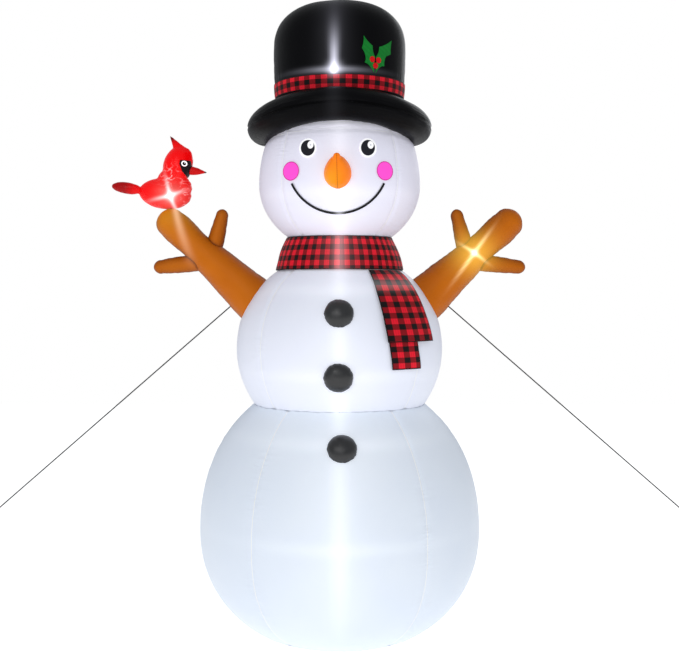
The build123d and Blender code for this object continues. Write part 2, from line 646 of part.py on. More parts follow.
def led_modules():
    modules = [led_module((LED_R + LEAD_R + 0.5, 0, z)) for z in LED_HEIGHTS]
    x, _, z = arm_point(ARM_LED_AT)
    angle = math.radians(ARM_TILT)
    shift = LED_L / 2 + 0.3
    modules.append(led_module((x + shift * math.cos(angle), 0, z + shift * math.sin(angle)),
                              (math.cos(angle), 0, math.sin(angle))))
    modules.append(led_module((*BIRD_LEAD, BIRD_LED_Z + 0.5 + LED_L / 2)))
    return modules


# ---- Tethers and stakes -------------------------------------------------------------------------
def rope_direction():
    return (Vector(*ROPE_FAR) - Vector(*ROPE_ANCHOR)).normalized()


def on_rope(distance):
    return Vector(*ROPE_ANCHOR) + rope_direction() * distance


RING_AT = 20 + RING_R
LOOP_R = 7.0
LOOP_AT = RING_AT + RING_R - RING_WIRE_R - ROPE_R - 0.3 + LOOP_R
KNOT_FROM = LOOP_AT + LOOP_R - 1
ROPE_FROM = KNOT_FROM + KNOT_L
ROPE_TOTAL = (Vector(*ROPE_FAR) - Vector(*ROPE_ANCHOR)).length
ROPE_TO = ROPE_TOTAL - 2 * END_LOOP_R - KNOT_L + 2


def rope_frame(distance, across):
    """Plane on the rope's line: x along the rope, normal to one side of it."""
    d = rope_direction()
    level = d.cross(Vector(0, 1, 0)).normalized()
    normal = level if across else level.cross(d).normalized()
    return Plane(origin=on_rope(distance), x_dir=d, z_dir=normal)


def tether_patch():
    """Right arm's sewn patch with a webbing tab that holds the ring."""
    outline = Plane(origin=on_rope(-8), z_dir=(0, 1, 0)) * RectangleRounded(44, 44, 6)
    back = (extrude(outline, 60) & arm_envelope(GAP + 1.6)) - arm_envelope(GAP)
    strap = extrude(RectangleRounded(44, 24, 5), 1.5, both=True) - Pos(16, 0) * Cylinder(3.2, 8)
    tab = rope_frame(4, False) * strap
    return (tab - arm_envelope(GAP + 0.8)) + back


def tether_ring():
    return rope_frame(RING_AT, True) * Torus(RING_R, RING_WIRE_R)


def torus_on_rope(distance, radius):
    return rope_frame(distance, False) * Torus(radius, ROPE_R)


def barrel(start, length):
    plane = Plane(origin=on_rope(start), z_dir=rope_direction())
    return plane * Pos(0, 0, length / 2) * Cylinder(KNOT_R, length)


def rope_knots():
    near = torus_on_rope(LOOP_AT, LOOP_R) + barrel(KNOT_FROM, KNOT_L)
    far = torus_on_rope(ROPE_TOTAL - END_LOOP_R, END_LOOP_R - ROPE_R) + barrel(ROPE_TO, KNOT_L)
    return [near, far]


def tether_rope():
    return rod(tuple(on_rope(ROPE_FROM)), tuple(on_rope(ROPE_TO)), ROPE_R)


def stake_tabs():
    tabs = []
    for azimuth in TAB_AZIMUTHS:
        length = TAB_REACH - 300
        plate = Pos(300 + length / 2, 0, TAB_LOW + TAB_T / 2) * Box(length, 2 * TAB_HALF_W, TAB_T)
        hole = Pos(GROMMET_AT, 0, 0) * Cylinder(GROMMET_BORE_R + GROMMET_TUBE + 0.05, 20)
        tabs.append(Rot(0, 0, azimuth) * (plate - hole) - filled(BELLY, 0.3))
    return tabs


def stake_grommets():
    grommets = []
    height = TAB_T + 2 * TAB_LOW
    for azimuth in TAB_AZIMUTHS:
        place = Rot(0, 0, azimuth) * Pos(GROMMET_AT, 0, 0)
        flange = extrude(Circle(GROMMET_R), TAB_LOW)
        body = extrude(Circle(GROMMET_BORE_R + GROMMET_TUBE), height)
        body = body + flange + Pos(0, 0, TAB_LOW + TAB_T) * flange
        grommets.append(place * (body - extrude(Circle(GROMMET_BORE_R), height)))
    return grommets


# ---- Writing the pieces -------------------------------------------------------------------------
def both_sides(*shapes):
    return [*shapes, *[mirrored(shape) for shape in shapes]]


def pieces():
    """Every sub-part by name."""
    right_arm, patch_right = arm(), tether_patch()
    made = {
        "base_panel": base_panel(), "lower_body": lower_body(), "torso": torso(), "head": head(),
        "hat_crown": hat_crown(), "hat_brim": hat_brim(), "hat_band": hat_band(),
        "holly_leaves": holly_leaves(), "holly_berries": holly_berries(),
        "eye_left": eye(-1), "eye_right": eye(1), "cheek_left": cheek(-1), "cheek_right": cheek(1),
        "smile_line": smile_line(), "nose": nose(),
        "scarf_collar": scarf_collar(), "scarf_tab": scarf_tab(),
        "scarf_front_tail": scarf_front_tail(), "scarf_rear_tail": scarf_rear_tail(),
        "right_arm": right_arm, "left_arm": mirrored(right_arm) - bird_hole(),
        "bird_body": bird_body(), "bird_head": bird_head(), "bird_tail": bird_tail(),
        "bird_crest": bird_crest(), "bird_beak": bird_beak(),
        "bird_mask": bird_mask(), "bird_eyes": bird_eyes(),
        "blower_cuff": blower_cuff(), "cuff_band": cuff_band(), "blower_housing": blower_housing(),
        "intake_grille": intake_grille(), "motor_mount": motor_mount(), "motor": motor(),
        "motor_shaft": motor_shaft(), "impeller": impeller(), "power_inlet": power_inlet(),
        "zipper_tape": zipper_tape(), "zipper_coil": zipper_coil(), "zipper_stops": zipper_stops(),
        "zipper_slider": zipper_slider(), "zipper_pull": zipper_pull(),
        "led_lead": led_lead(), "led_modules": led_modules(),
        "tether_patches": both_sides(patch_right), "tether_rings": both_sides(tether_ring()),
        "tether_rope_right": tether_rope(), "tether_rope_left": mirrored(tether_rope()),
        "rope_knots_right": rope_knots(), "rope_knots_left": [mirrored(k) for k in rope_knots()],
        "stake_tabs": stake_tabs(), "stake_grommets": stake_grommets(),
    }
    for name in BUTTONS:
        made[name] = button(name)
    for name in TWIGS:
        shape = twig(name)
        made["right_" + name] = shape
        made["left_" + name] = mirrored(shape)
    return made


def solids_of(shape):
    parts = shape if isinstance(shape, list) else [shape]
    return [solid for part in parts for solid in part.solids()]


os.makedirs("parts", exist_ok=True)
for node, shape in pieces().items():
    export_step(Compound(children=solids_of(shape)), os.path.join("parts", node + ".step"))
print("tether rope length", round(ROPE_TO - ROPE_FROM, 1), "mm, straight, so no bend radius")
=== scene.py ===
import math

import bmesh
import bpy
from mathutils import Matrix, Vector, noise


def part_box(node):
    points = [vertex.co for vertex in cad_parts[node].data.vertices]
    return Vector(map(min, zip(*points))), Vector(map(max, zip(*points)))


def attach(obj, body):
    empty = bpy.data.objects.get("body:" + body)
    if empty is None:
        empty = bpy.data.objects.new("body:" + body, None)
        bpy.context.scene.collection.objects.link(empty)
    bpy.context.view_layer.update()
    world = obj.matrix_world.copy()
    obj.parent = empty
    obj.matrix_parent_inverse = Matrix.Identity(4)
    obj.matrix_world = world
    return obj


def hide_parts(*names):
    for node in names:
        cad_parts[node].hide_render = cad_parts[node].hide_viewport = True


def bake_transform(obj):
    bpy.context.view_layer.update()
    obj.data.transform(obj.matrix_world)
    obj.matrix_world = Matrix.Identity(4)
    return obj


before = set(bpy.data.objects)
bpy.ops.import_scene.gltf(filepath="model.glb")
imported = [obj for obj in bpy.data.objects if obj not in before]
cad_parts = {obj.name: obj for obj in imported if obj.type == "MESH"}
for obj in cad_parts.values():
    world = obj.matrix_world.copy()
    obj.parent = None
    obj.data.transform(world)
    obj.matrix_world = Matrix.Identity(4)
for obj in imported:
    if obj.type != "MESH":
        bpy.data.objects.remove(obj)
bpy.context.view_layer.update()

# Inflatable yard snowman. Metres. The face looks along -Y, +X is the viewer's right. An azimuth is an
# angle about Z from the front towards +X.

# ---- Sizes that the pieces share ----------------------------------------------------------------
BELLY_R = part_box("lower_body")[1][0]
CHEST_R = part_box("torso")[1][0]
HEAD_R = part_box("head")[1][0]
WAIST_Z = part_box("lower_body")[1][2]
COLLAR_LOW_Z, COLLAR_TOP_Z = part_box("scarf_collar")[0][2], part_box("scarf_collar")[1][2]
BROW_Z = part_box("head")[1][2]
TOP_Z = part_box("hat_crown")[1][2]
BAND_LOW_Z, BAND_TOP_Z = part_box("hat_band")[0][2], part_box("hat_band")[1][2]
BASE, BELLY, WAIST = (0.322, 0.0), (BELLY_R, 0.402), (0.336, WAIST_Z)
CHEST, SHOULDER = (CHEST_R, 1.100), (0.243, COLLAR_LOW_Z)
NECK, HEAD, BROW = (0.202, COLLAR_TOP_Z), (HEAD_R, 1.740), (0.259, BROW_Z)
HAT_LOW, HAT, HAT_TOP = (0.248, 2.068), (0.258, 2.259), (0.0, TOP_Z)
COLLAR_LOW_R, COLLAR_TOP_R = 0.252, 0.208
SET_BACK = 0.0008        # how far a fabric's surface stays inside its CAD shell
TURN = 2 * math.pi
UP = Vector((0.0, 0.0, 1.0))

ARM_ROOT, ARM_TILT = Vector((0.340, 0.0, 1.300)), math.radians(42.4)
ARM_STATIONS = [(-0.09, 0.099), (0.0, 0.086), (0.12, 0.074), (0.221, 0.0645), (0.3, 0.055), (0.39, 0.0595),
                (0.44, 0.056)]
ARM_TIP = 0.491
TWIGS = {
    "upper_twig": (Vector((0.500, 0.0, 1.470)), Vector((0.462, 0.0, 1.620)), 0.031, 0.0285),
    "lower_twig": (Vector((0.540, 0.0, 1.440)), Vector((0.700, 0.0, 1.422)), 0.032, 0.031),
}
SIDES = {"right": 1, "left": -1}


# ---- Camera -------------------------------------------------------------------------------------
def in_scene(name, data):
    """Object of a mesh, curve, light or camera, put in the scene."""
    obj = bpy.data.objects.new(name, data)
    bpy.context.scene.collection.objects.link(obj)
    return obj


camera = in_scene("camera", bpy.data.cameras.new("camera"))
camera.location = (0.0, -4.14, 1.331)
camera.rotation_euler = (math.radians(87.9), 0.0, 0.0)
camera.data.lens = 55.67
bpy.context.scene.camera = camera


# ---- Small helpers ------------------------------------------------------------------------------
def bell(x, width):
    """1 in the middle, falling off to nothing on both sides."""
    return math.exp(-(x / width) ** 2)


def ease(low, high, x):
    """0 at low, 1 at high, and smooth between."""
    t = min(max((x - low) / (high - low), 0.0), 1.0)
    return t * t * (3 - 2 * t)


def ripple(x, y, z):
    """Smooth random value at a place, from -1 to 1."""
    return noise.noise(Vector((x, y, z)))


def between(points, x):
    """Linear reading of a list of (place, value) pairs."""
    if x <= points[0][0]:
        return points[0][1]
    for (x0, y0), (x1, y1) in zip(points, points[1:]):
        if x <= x1:
            return y0 + (y1 - y0) * (x - x0) / (x1 - x0)
    return points[-1][1]


def curve_between(points, x):
    """Smooth reading of a list of (place, value) pairs."""
    if x <= points[0][0]:
        return points[0][1]
    for i in range(len(points) - 1):
        (x1, y1), (x2, y2) = points[i], points[i + 1]
        if x <= x2:
            x0, y0 = points[max(i - 1, 0)]
            x3, y3 = points[min(i + 2, len(points) - 1)]
            slope1, slope2 = (y2 - y0) / (x2 - x0), (y3 - y1) / (x3 - x1)
            t, span = (x - x1) / (x2 - x1), x2 - x1
            return ((2 * t**3 - 3 * t**2 + 1) * y1 + (t**3 - 2 * t**2 + t) * span * slope1
                    + (3 * t**2 - 2 * t**3) * y2 + (t**3 - t**2) * span * slope2)
    return points[-1][1]


def srgb(red, green, blue):
    """Linear colour of a screen colour given from 0 to 255."""
    def linear(value):
        value /= 255
        return value / 12.92 if value <= 0.04045 else ((value + 0.055) / 1.055) ** 2.4
    return (linear(red), linear(green), linear(blue), 1.0)


def bulge(end, widest, power, count):
    """Superellipse arc from an end circle to the widest circle, as (radius, height) points."""
    (r_end, z_end), (r_widest, z_widest) = end, widest
    reach = (z_end - z_widest) / (1 - (r_end / r_widest) ** power) ** (1 / power)
    full = math.acos(r_end / r_widest)
    points = []
    for i in range(count):
        z = z_widest + (z_end - z_widest) * math.sin(full * (1 - i / (count - 1))) / math.sin(full)
        points.append((r_widest * (1 - abs((z - z_widest) / reach) ** power) ** (1 / power), z))
    return points


def joined(lower, upper):
    """Two arcs that meet at the widest circle, from the bottom up."""
    return lower + upper[-2::-1]


BODY_LINE = joined(bulge(BASE, BELLY, 2.22, 66), bulge(WAIST, BELLY, 2.11, 66))
CHEST_LINE = joined(bulge(WAIST, CHEST, 2.0, 40), bulge(SHOULDER, CHEST, 2.05, 52))
NECK_LINE = [(0.224, 1.4245), (0.2085, 1.438), (0.202, 1.462), (0.200, 1.486), NECK]
HEAD_LINE = joined(bulge(NECK, HEAD, 2.0, 54), bulge(BROW, HEAD, 1.95, 54))
HAT_LINE = [BROW, (0.2552, 1.994), (0.251, 2.016), (0.2486, 2.042)] + joined(
    bulge(HAT_LOW, HAT, 2.0, 28), bulge(HAT_TOP, HAT, 2.6, 62))


def radius_on(line, z):
    """Radius of an outline at a height."""
    return between([(height, r) for r, height in line], z)


def ring_point(azimuth, r, z):
    return Vector((r * math.sin(azimuth), -r * math.cos(azimuth), z))


# ---- Meshes from rows of points -----------------------------------------------------------------
class Spot:
    """A point of a cloth surface: where it is, how far from its nearest seam, and where in the cloth."""
    def __init__(self, point, seam=1.0, u=0.0, v=0.0):
        self.point, self.seam, self.u, self.v = point, seam, u, v


def surface(name, rows, caps=(False, False), glow=None, closed_rows=False):
    """Mesh over closed rows of spots: a row's last spot repeats its first place, with its own u and v.
    A cap closes an end row: True with one face, "fold" by sewing its two halves together."""
    columns = len(rows[0]) - 1
    points = [spot.point for row in rows for spot in row[:columns]]
    seams = [spot.seam for row in rows for spot in row[:columns]]
    faces, cloth = [], []
    pairs = list(zip(range(len(rows)), range(1, len(rows))))
    if closed_rows:
        pairs.append((len(rows) - 1, 0))
    for i, k in pairs:
        for j in range(columns):
            right = (j + 1) % columns
            faces.append((i * columns + j, i * columns + right, k * columns + right, k * columns + j))
            for spot in (rows[i][j], rows[i][j + 1], rows[k][j + 1], rows[k][j]):
                cloth.append((spot.u, spot.v, 0.0))
    for end, row in ((0, 0), (1, len(rows) - 1)):
        loops = [list(range(columns))] if caps[end] is True else []
        if caps[end] == "fold":
            loops = [[j, j + 1, columns - 2 - j, columns - 1 - j] for j in range(columns // 2 - 1)]
        for loop in loops:
            loop = loop[::-1] if end == 0 else loop
            faces.append(tuple(row * columns + j for j in loop))
            cloth += [(rows[row][j].u, rows[row][j].v, 0.0) for j in loop]
    mesh = bpy.data.meshes.new(name)
    mesh.from_pydata(points, [], faces)
    return finished(name, mesh, seams, cloth, glow)


def finished(name, mesh, seams, cloth, glow):
    """Smooth object of a mesh that stores what its material reads: the distance from a seam, the place in
    the cloth, and the light that comes through the cloth from the lamps inside."""
    mesh.attributes.new("seam", "FLOAT", "POINT").data.foreach_set("value", seams)
    flat = [value for triple in cloth for value in triple]
    mesh.attributes.new("cloth", "FLOAT_VECTOR", "CORNER").data.foreach_set("vector", flat)
    mesh.polygons.foreach_set("use_smooth", [True] * len(mesh.polygons))
    light = []
    for vertex in mesh.vertices:
        light += [*(glow(vertex.co) if glow else (0.0, 0.0, 0.0)), 1.0]
    mesh.attributes.new("glow", "FLOAT_COLOR", "POINT").data.foreach_set("color", light)
    return in_scene(name, mesh)


def place(obj, material, slot, *nodes, body="snowman"):
    """Gives a piece its material, the body that carries it, and the CAD nodes that it stands for."""
    obj.data.materials.append(material)
    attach(obj, body)
    if nodes:
        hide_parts(*nodes)
    return obj


def tube_rows(points, radius, around=10, closed=False):
    """Rows of a round tube that follows points."""
    rows = []
    up = UP
    count = len(points)
    for i, point in enumerate(points):
        after = points[(i + 1) % count] if closed or i + 1 < count else point
        before = points[i - 1] if closed or i else point
        along = (after - before).normalized()
        side = along.cross(up)
        if side.length < 0.1:
            side = along.cross(Vector((1.0, 0.0, 0.0)))
        side.normalize()
        up = side.cross(along).normalized()
        row = []
        for j in range(around + 1):
            angle = TURN * j / around
            at = point + side * radius * math.cos(angle) + up * radius * math.sin(angle)
            row.append(Spot(at, 1.0, radius * angle, i * radius))
        rows.append(row[::-1])
    return rows


# ---- Materials ----------------------------------------------------------------------------------
THREAD = 0.0016          # from one thread of the cloth to the next
STITCH = 0.007
SEAM_SOFTNESS = 0.0012


class Shading:
    """Short calls for building the nodes of one material."""
    def __init__(self, name, roughness, metallic=0.0, sheen=0.0, coat=0.0, specular=0.5):
        self.material = bpy.data.materials.new(name)
        self.material.use_nodes = True
        self.tree = self.material.node_tree
        self.shader = self.tree.nodes["Principled BSDF"]
        for socket, value in (("Roughness", roughness), ("Metallic", metallic), ("Sheen Weight", sheen),
                              ("Coat Weight", coat), ("Specular IOR Level", specular)):
            self.shader.inputs[socket].default_value = value

    def node(self, kind, **settings):
        made = self.tree.nodes.new(kind)
        for key, value in settings.items():
            setattr(made, key, value)
        return made

    def feed(self, socket, value):
        if isinstance(value, bpy.types.NodeSocket):
            self.tree.links.new(value, socket)
        else:
            socket.default_value = value

    def math(self, operation, *values, clamp=False):
        made = self.node("ShaderNodeMath", operation=operation, use_clamp=clamp)
        for socket, value in zip(made.inputs, values):
            self.feed(socket, value)
        return made.outputs[0]

    def times(self, first, second):
        return self.math("MULTIPLY", first, second)

    def scaled(self, value, factor, offset):
        """A value times a factor plus an offset, kept between 0 and 1."""
        return self.math("MULTIPLY_ADD", value, factor, offset, clamp=True)

    def mix(self, factor, first, second):
        made = self.node("ShaderNodeMix", data_type="RGBA")
        for index, value in ((0, factor), (6, first), (7, second)):
            self.feed(made.inputs[index], value)
        return made.outputs[2]

    def read(self, attribute, output="Fac"):
        return self.node("ShaderNodeAttribute", attribute_name=attribute).outputs[output]

    def place(self):
        """X, Y and Z of the surface at rest."""
        split = self.node("ShaderNodeSeparateXYZ")
        self.feed(split.inputs[0], self.node("ShaderNodeTexCoord").outputs["Object"])
        return split.outputs

    def distance(self, centre):
        """Distance of the surface at rest from a point."""
        made = self.node("ShaderNodeVectorMath", operation="DISTANCE")
        self.feed(made.inputs[0], self.node("ShaderNodeTexCoord").outputs["Object"])
        made.inputs[1].default_value = centre
        return made.outputs["Value"]

    def cloth(self):
        """U and V along the cloth in metres, and an empty third value."""
        split = self.node("ShaderNodeSeparateXYZ")
        self.feed(split.inputs[0], self.read("cloth", "Vector"))
        return split.outputs

    def vector(self, x, y, z):
        made = self.node("ShaderNodeCombineXYZ")
        for socket, value in zip(made.inputs, (x, y, z)):
            self.feed(socket, value)
        return made.outputs[0]

    def noise(self, scale, vector=None, detail=2.0):
        made = self.node("ShaderNodeTexNoise")
        self.feed(made.inputs["Vector"], vector or self.node("ShaderNodeTexCoord").outputs["Object"])
        made.inputs["Scale"].default_value = scale
        made.inputs["Detail"].default_value = detail
        return made.outputs[0]

    def stripes(self, value, period, sharpness, offset=0.0):
        """0 and 1 bands along a coordinate, half a period each."""
        return self.scaled(self.wave(self.math("ADD", value, offset), period), sharpness, 0.5)

    def below(self, value, limit, softness):
        """1 where a value is under a limit, with a soft edge."""
        return self.math("DIVIDE", self.math("SUBTRACT", limit, value), softness, clamp=True)

    def fading(self, value, reach):
        """1 at 0, falling off with distance."""
        return self.math("EXPONENT", self.times(value, -1.0 / reach))

    def total(self, *heights):
        """Sum of any number of values."""
        result = heights[0]
        for height in heights[1:]:
            result = self.math("ADD", result, height)
        return result

    def bump(self, height):
        """Relief from heights in metres."""
        made = self.node("ShaderNodeBump")
        made.inputs["Distance"].default_value = 1.0
        self.feed(made.inputs["Height"], height)
        self.feed(self.shader.inputs["Normal"], made.outputs[0])

    def colour(self, value):
        self.feed(self.shader.inputs["Base Color"], value)

    def lit_colour(self, value, strength):
        """Colour of cloth that some of the inner light comes through."""
        self.colour(value)
        self.feed(self.shader.inputs["Emission Color"], value)
        self.shader.inputs["Emission Strength"].default_value = strength

    def glow(self):
        self.feed(self.shader.inputs["Emission Color"], self.read("glow", "Color"))
        self.shader.inputs["Emission Strength"].default_value = 1.0

    def wave(self, value, period):
        """-1 to 1 and back along a coordinate."""
        return self.math("SINE", self.times(value, TURN / period))

    def weave(self, u, v, depth):
        """Crossed threads as heights."""
        return self.times(self.times(self.wave(u, THREAD), self.wave(v, THREAD)), depth)


def inflated_cloth(name, colour, shade, seam_colour, roughness=0.42, seam_width=0.0022, pucker=0.0012,
                   pucker_reach=0.028, fold=0.0012, fold_scale=9.0, tints_and_painted_shade=(), specular=0.14, edge=0.0):
    """Coated polyester held out by air: woven grain, sewn seams with stitches, puckers and slack folds."""
    s = Shading(name, roughness, specular=specular)
    seam = s.read("seam")
    u, v, _ = s.cloth()
    base = s.mix(s.scaled(s.noise(4.0, detail=3.0), 1.6, -0.3), colour, shade)
    # Darker spots given per material: the beak's dark tip, and painted shade at the bird's crest tip and tail
    # end.
    for centre, reach, dark_colour in tints_and_painted_shade:
        base = s.mix(s.below(s.distance(centre), reach, 0.4 * reach), base, dark_colour)
    # Painted shade: the cloth darkened towards its seams, which run along the outline, as a dark edge.
    if edge:
        base = s.mix(s.times(s.fading(seam, 0.024), edge), base, seam_colour)
    base = s.mix(s.below(seam, seam_width, SEAM_SOFTNESS), base, seam_colour)
    stitches = s.times(s.below(seam, 2.6 * seam_width, SEAM_SOFTNESS / 2), s.stripes(v, STITCH, 2.0))
    inside_row = s.below(seam, 2.1 * seam_width, SEAM_SOFTNESS / 2)
    stitches = s.math("SUBTRACT", stitches, inside_row, clamp=True)
    s.colour(s.mix(s.times(stitches, 0.55), base, seam_colour))
    near_seam = s.fading(seam, pucker_reach)
    crimps = s.noise(1.0, s.vector(s.times(u, 14.0), s.times(v, 95.0), 0.0), 1.0)
    patches = s.scaled(s.noise(5.0, detail=1.0), 4.0, -1.5)
    crimps = s.times(s.times(crimps, patches), s.times(near_seam, 4 * pucker))
    slack_folds = s.times(s.noise(fold_scale, detail=4.0), fold)
    seam_ridge = s.times(s.below(seam, seam_width, 0.002), 0.0008)
    s.bump(s.total(crimps, slack_folds, seam_ridge, s.weave(u, v, 0.00004)))
    s.glow()
    return s.material


def plaid(name, period_u, period_v, offset_v):
    """Buffalo check: red, black, and the red and black twill where a dark band crosses a red one."""
    s = Shading(name, 0.62, sheen=0.04, specular=0.12)
    u, v, _ = s.cloth()
    warp, weft = s.stripes(u, period_u, 4.0), s.stripes(v, period_v, 4.0, offset_v)
    both, either = s.times(warp, weft), s.math("MAXIMUM", warp, weft)
    red = s.mix(s.noise(7.0), srgb(255, 30, 54), srgb(230, 16, 38))
    twill = s.stripes(s.math("ADD", u, v), 0.0042, 1.0)
    mixed = s.mix(s.times(twill, 0.6), srgb(156, 14, 26), srgb(82, 8, 14))
    pinstripe = s.times(s.stripes(u, period_u / 5, 1.0), 0.16)
    base = s.mix(either, s.mix(pinstripe, red, srgb(140, 10, 24)), mixed)
    base = s.mix(both, base, srgb(16, 9, 11))
    seam = s.read("seam")
    s.colour(s.mix(s.below(seam, 0.0045, 0.001), base, srgb(22, 8, 10)))
    nap = s.times(s.noise(260.0, detail=3.0), 0.0002)
    hem = s.times(s.below(seam, 0.0055, 0.002), 0.0012)
    folds = s.times(s.noise(14.0, detail=3.0), 0.003)
    s.bump(s.total(nap, s.times(twill, 0.00012), hem, folds))
    s.glow()
    return s.material


def toned(colour, factor, lift=0.0):
    """A lighter or darker version of a colour."""
    return tuple(c * factor + lift for c in colour[:3]) + (1.0,)


def moulded(name, colour, roughness=0.45, grain=0.00006):
    """Plastic with the fine grain of its mould and handling marks."""
    s = Shading(name, roughness)
    wear = s.scaled(s.noise(28.0, detail=6.0), 2.5, -1.0)
    s.colour(s.mix(s.times(wear, 0.5), colour, toned(colour, 1.7, 0.01)))
    s.feed(s.shader.inputs["Roughness"], s.math("MULTIPLY_ADD", wear, 0.18, roughness - 0.08))
    s.bump(s.times(s.noise(900.0), grain))
    return s.material


def metal(name, colour, roughness):
    """Drawn or plated metal with fine scratches."""
    s = Shading(name, roughness, metallic=1.0)
    stretched = [s.times(axis, scale) for axis, scale in zip(s.place(), (90.0, 90.0, 1400.0))]
    scratches = s.noise(1.0, s.vector(*stretched), 3.0)
    s.colour(s.mix(scratches, colour, toned(colour, 0.72)))
    s.feed(s.shader.inputs["Roughness"], s.math("MULTIPLY_ADD", scratches, 0.25, roughness - 0.1))
    s.bump(s.times(scratches, 0.00003))
    return s.material


def webbing(name, colour, pitch=0.0032):
    """Ribbed woven strap."""
    s = Shading(name, 0.7, sheen=0.2)
    x, y, z = s.place()
    ribs = s.wave(s.total(x, y, z), pitch)
    cross = s.wave(s.math("SUBTRACT", x, y), pitch * 0.6)
    woven = s.times(ribs, cross)
    s.colour(s.mix(s.scaled(woven, 0.3, 0.3), colour, toned(colour, 2.2, 0.004)))
    s.bump(s.times(woven, 0.0002))
    return s.material


def braided(name, colour):
    """Braided cord: two sets of strands that spiral against each other."""
    s = Shading(name, 0.6, sheen=0.2)
    _, y, z = s.place()
    run, lean = s.times(z, TURN / 0.006), s.times(y, 1400.0)
    strands = s.times(*[s.math("SINE", s.math(way, run, lean)) for way in ("ADD", "SUBTRACT")])
    s.colour(s.mix(s.scaled(strands, 0.25, 0.25), colour, toned(colour, 2.5, 0.01)))
    s.bump(s.times(strands, 0.0003))
    return s.material


def oval(s, centre, half_x, half_z, turn=0.0):
    """Squared distance from the middle of an upright oval, 1 at its edge."""
    x, _, z = s.place()
    dx, dz = s.math("SUBTRACT", x, centre[0]), s.math("SUBTRACT", z, centre[2])
    c, n = math.cos(turn), math.sin(turn)
    across = s.math("ADD", s.times(dx, c / half_x), s.times(dz, n / half_x))
    up = s.math("SUBTRACT", s.times(dz, c / half_z), s.times(dx, n / half_z))
    return s.math("ADD", s.times(across, across), s.times(up, up))


def printed(name, roughness=0.45):
    """A sewn-on cloth print: a Shading with fine cloth relief, still without its colour."""
    s = Shading(name, roughness, specular=0.15)
    s.bump(s.total(s.times(s.noise(420.0), 0.00012), s.times(s.noise(30.0), 0.0004)))
    return s


def middle(node):
    """Middle of a CAD node's box."""
    low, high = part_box(node)
    return (Vector(low) + Vector(high)) / 2


def eye_print(node, tilt):
    """White cloth disc with a black oval, a white highlight and a small grey dot."""
    centre = middle(node)
    s = printed("eye_print_" + node, 0.35)
    black = s.mix(s.noise(20.0), srgb(20, 20, 24), srgb(34, 35, 42))
    base = s.mix(s.below(oval(s, centre, 0.0262, 0.0302, tilt), 1.0, 0.06), srgb(250, 250, 252), black)
    shine = (centre.x + 0.010, 0.0, centre.z + 0.011)
    base = s.mix(s.below(oval(s, shine, 0.0112, 0.0145), 1.0, 0.1), base, srgb(255, 255, 255))
    s.lit_colour(s.mix(s.below(oval(s, shine, 0.004, 0.005), 1.0, 0.4), base, srgb(206, 208, 214)), 0.3)
    return s.material


def cheek_print(node):
    """Pink cloth disc with a darker stitched edge."""
    centre = middle(node)
    half = Vector(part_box(node)[1]) - centre
    s = printed("cheek_print_" + node)
    pink = s.mix(s.noise(12.0), srgb(255, 88, 208), srgb(250, 70, 196))
    edge = s.math("SUBTRACT", 1.0, s.below(oval(s, centre, half.x, half.z), 0.86, 0.05))
    s.lit_colour(s.mix(edge, pink, srgb(190, 40, 140)), 0.28)
    return s.material


def smile_print():
    """Black cloth line, paler where the lamp behind the middle of the mouth shines through it."""
    s = printed("smile_print")
    x = s.place()[0]
    black = s.mix(s.noise(20.0), srgb(14, 14, 16), srgb(30, 30, 34))
    lit = s.math("EXPONENT", s.times(s.times(x, x), -1 / 0.016**2))
    s.colour(s.mix(s.times(lit, 0.55), black, srgb(225, 225, 230)))
    return s.material


def leaf_print():
    """Green cloth leaves with printed veins."""
    s = printed("leaf_print")
    green = s.mix(s.noise(26.0, detail=4.0), srgb(14, 128, 44), srgb(6, 96, 30))
    x, _, z = s.place()
    veins = s.stripes(s.math("ADD", s.times(x, 0.8), z), 0.018, 1.2)
    s.lit_colour(s.mix(s.times(veins, 0.2), green, srgb(4, 72, 22)), 0.2)
    return s.material


def bird_mask_print():
    s = printed("bird_mask_print")
    s.colour(s.mix(s.noise(60.0), srgb(12, 10, 12), srgb(30, 22, 24)))
    return s.material


def bird_eye_print():
    """White disc with a black pupil and a small highlight."""
    centre = middle("bird_eyes")
    s = Shading("bird_eye_print", 0.35, specular=0.15)
    base = s.mix(s.below(oval(s, centre, 0.0068, 0.0074), 1.0, 0.2), srgb(250, 250, 250), srgb(10, 10, 12))
    shine = (centre.x + 0.002, 0.0, centre.z + 0.003)
    s.lit_colour(s.mix(s.below(oval(s, shine, 0.0022, 0.0022), 1.0, 0.4), base, srgb(240, 240, 244)), 0.6)
    s.bump(s.times(s.noise(300.0), 0.0001))
    return s.material


# One white cloth in three tones, matched to the light on each form as painted light: the chest lighter and
# the head more lavender than the body.
WHITE_LOW = inflated_cloth("white_cloth_body", srgb(228, 236, 246), srgb(222, 231, 244), srgb(252, 253, 255))
WHITE_HIGH = inflated_cloth("white_cloth_head", srgb(236, 233, 248), srgb(230, 229, 246), srgb(248, 247, 253),
                            pucker=0.0009)
WHITE_CHEST = inflated_cloth("white_cloth_chest", srgb(233, 236, 248), srgb(228, 232, 246),
                             srgb(250, 251, 254), pucker=0.0010)
BLACK = inflated_cloth("black_cloth", srgb(9, 9, 11), srgb(6, 6, 8), srgb(3, 3, 4), roughness=0.36,
                       specular=0.05, pucker=0.0016, fold=0.003, fold_scale=7.0)
BUTTON_BLACK = inflated_cloth("button_cloth", srgb(15, 15, 18), srgb(11, 11, 14), srgb(4, 4, 5),
                              roughness=0.33, specular=0.7, pucker=0.002, pucker_reach=0.012, fold=0.0008,
                              fold_scale=30.0)
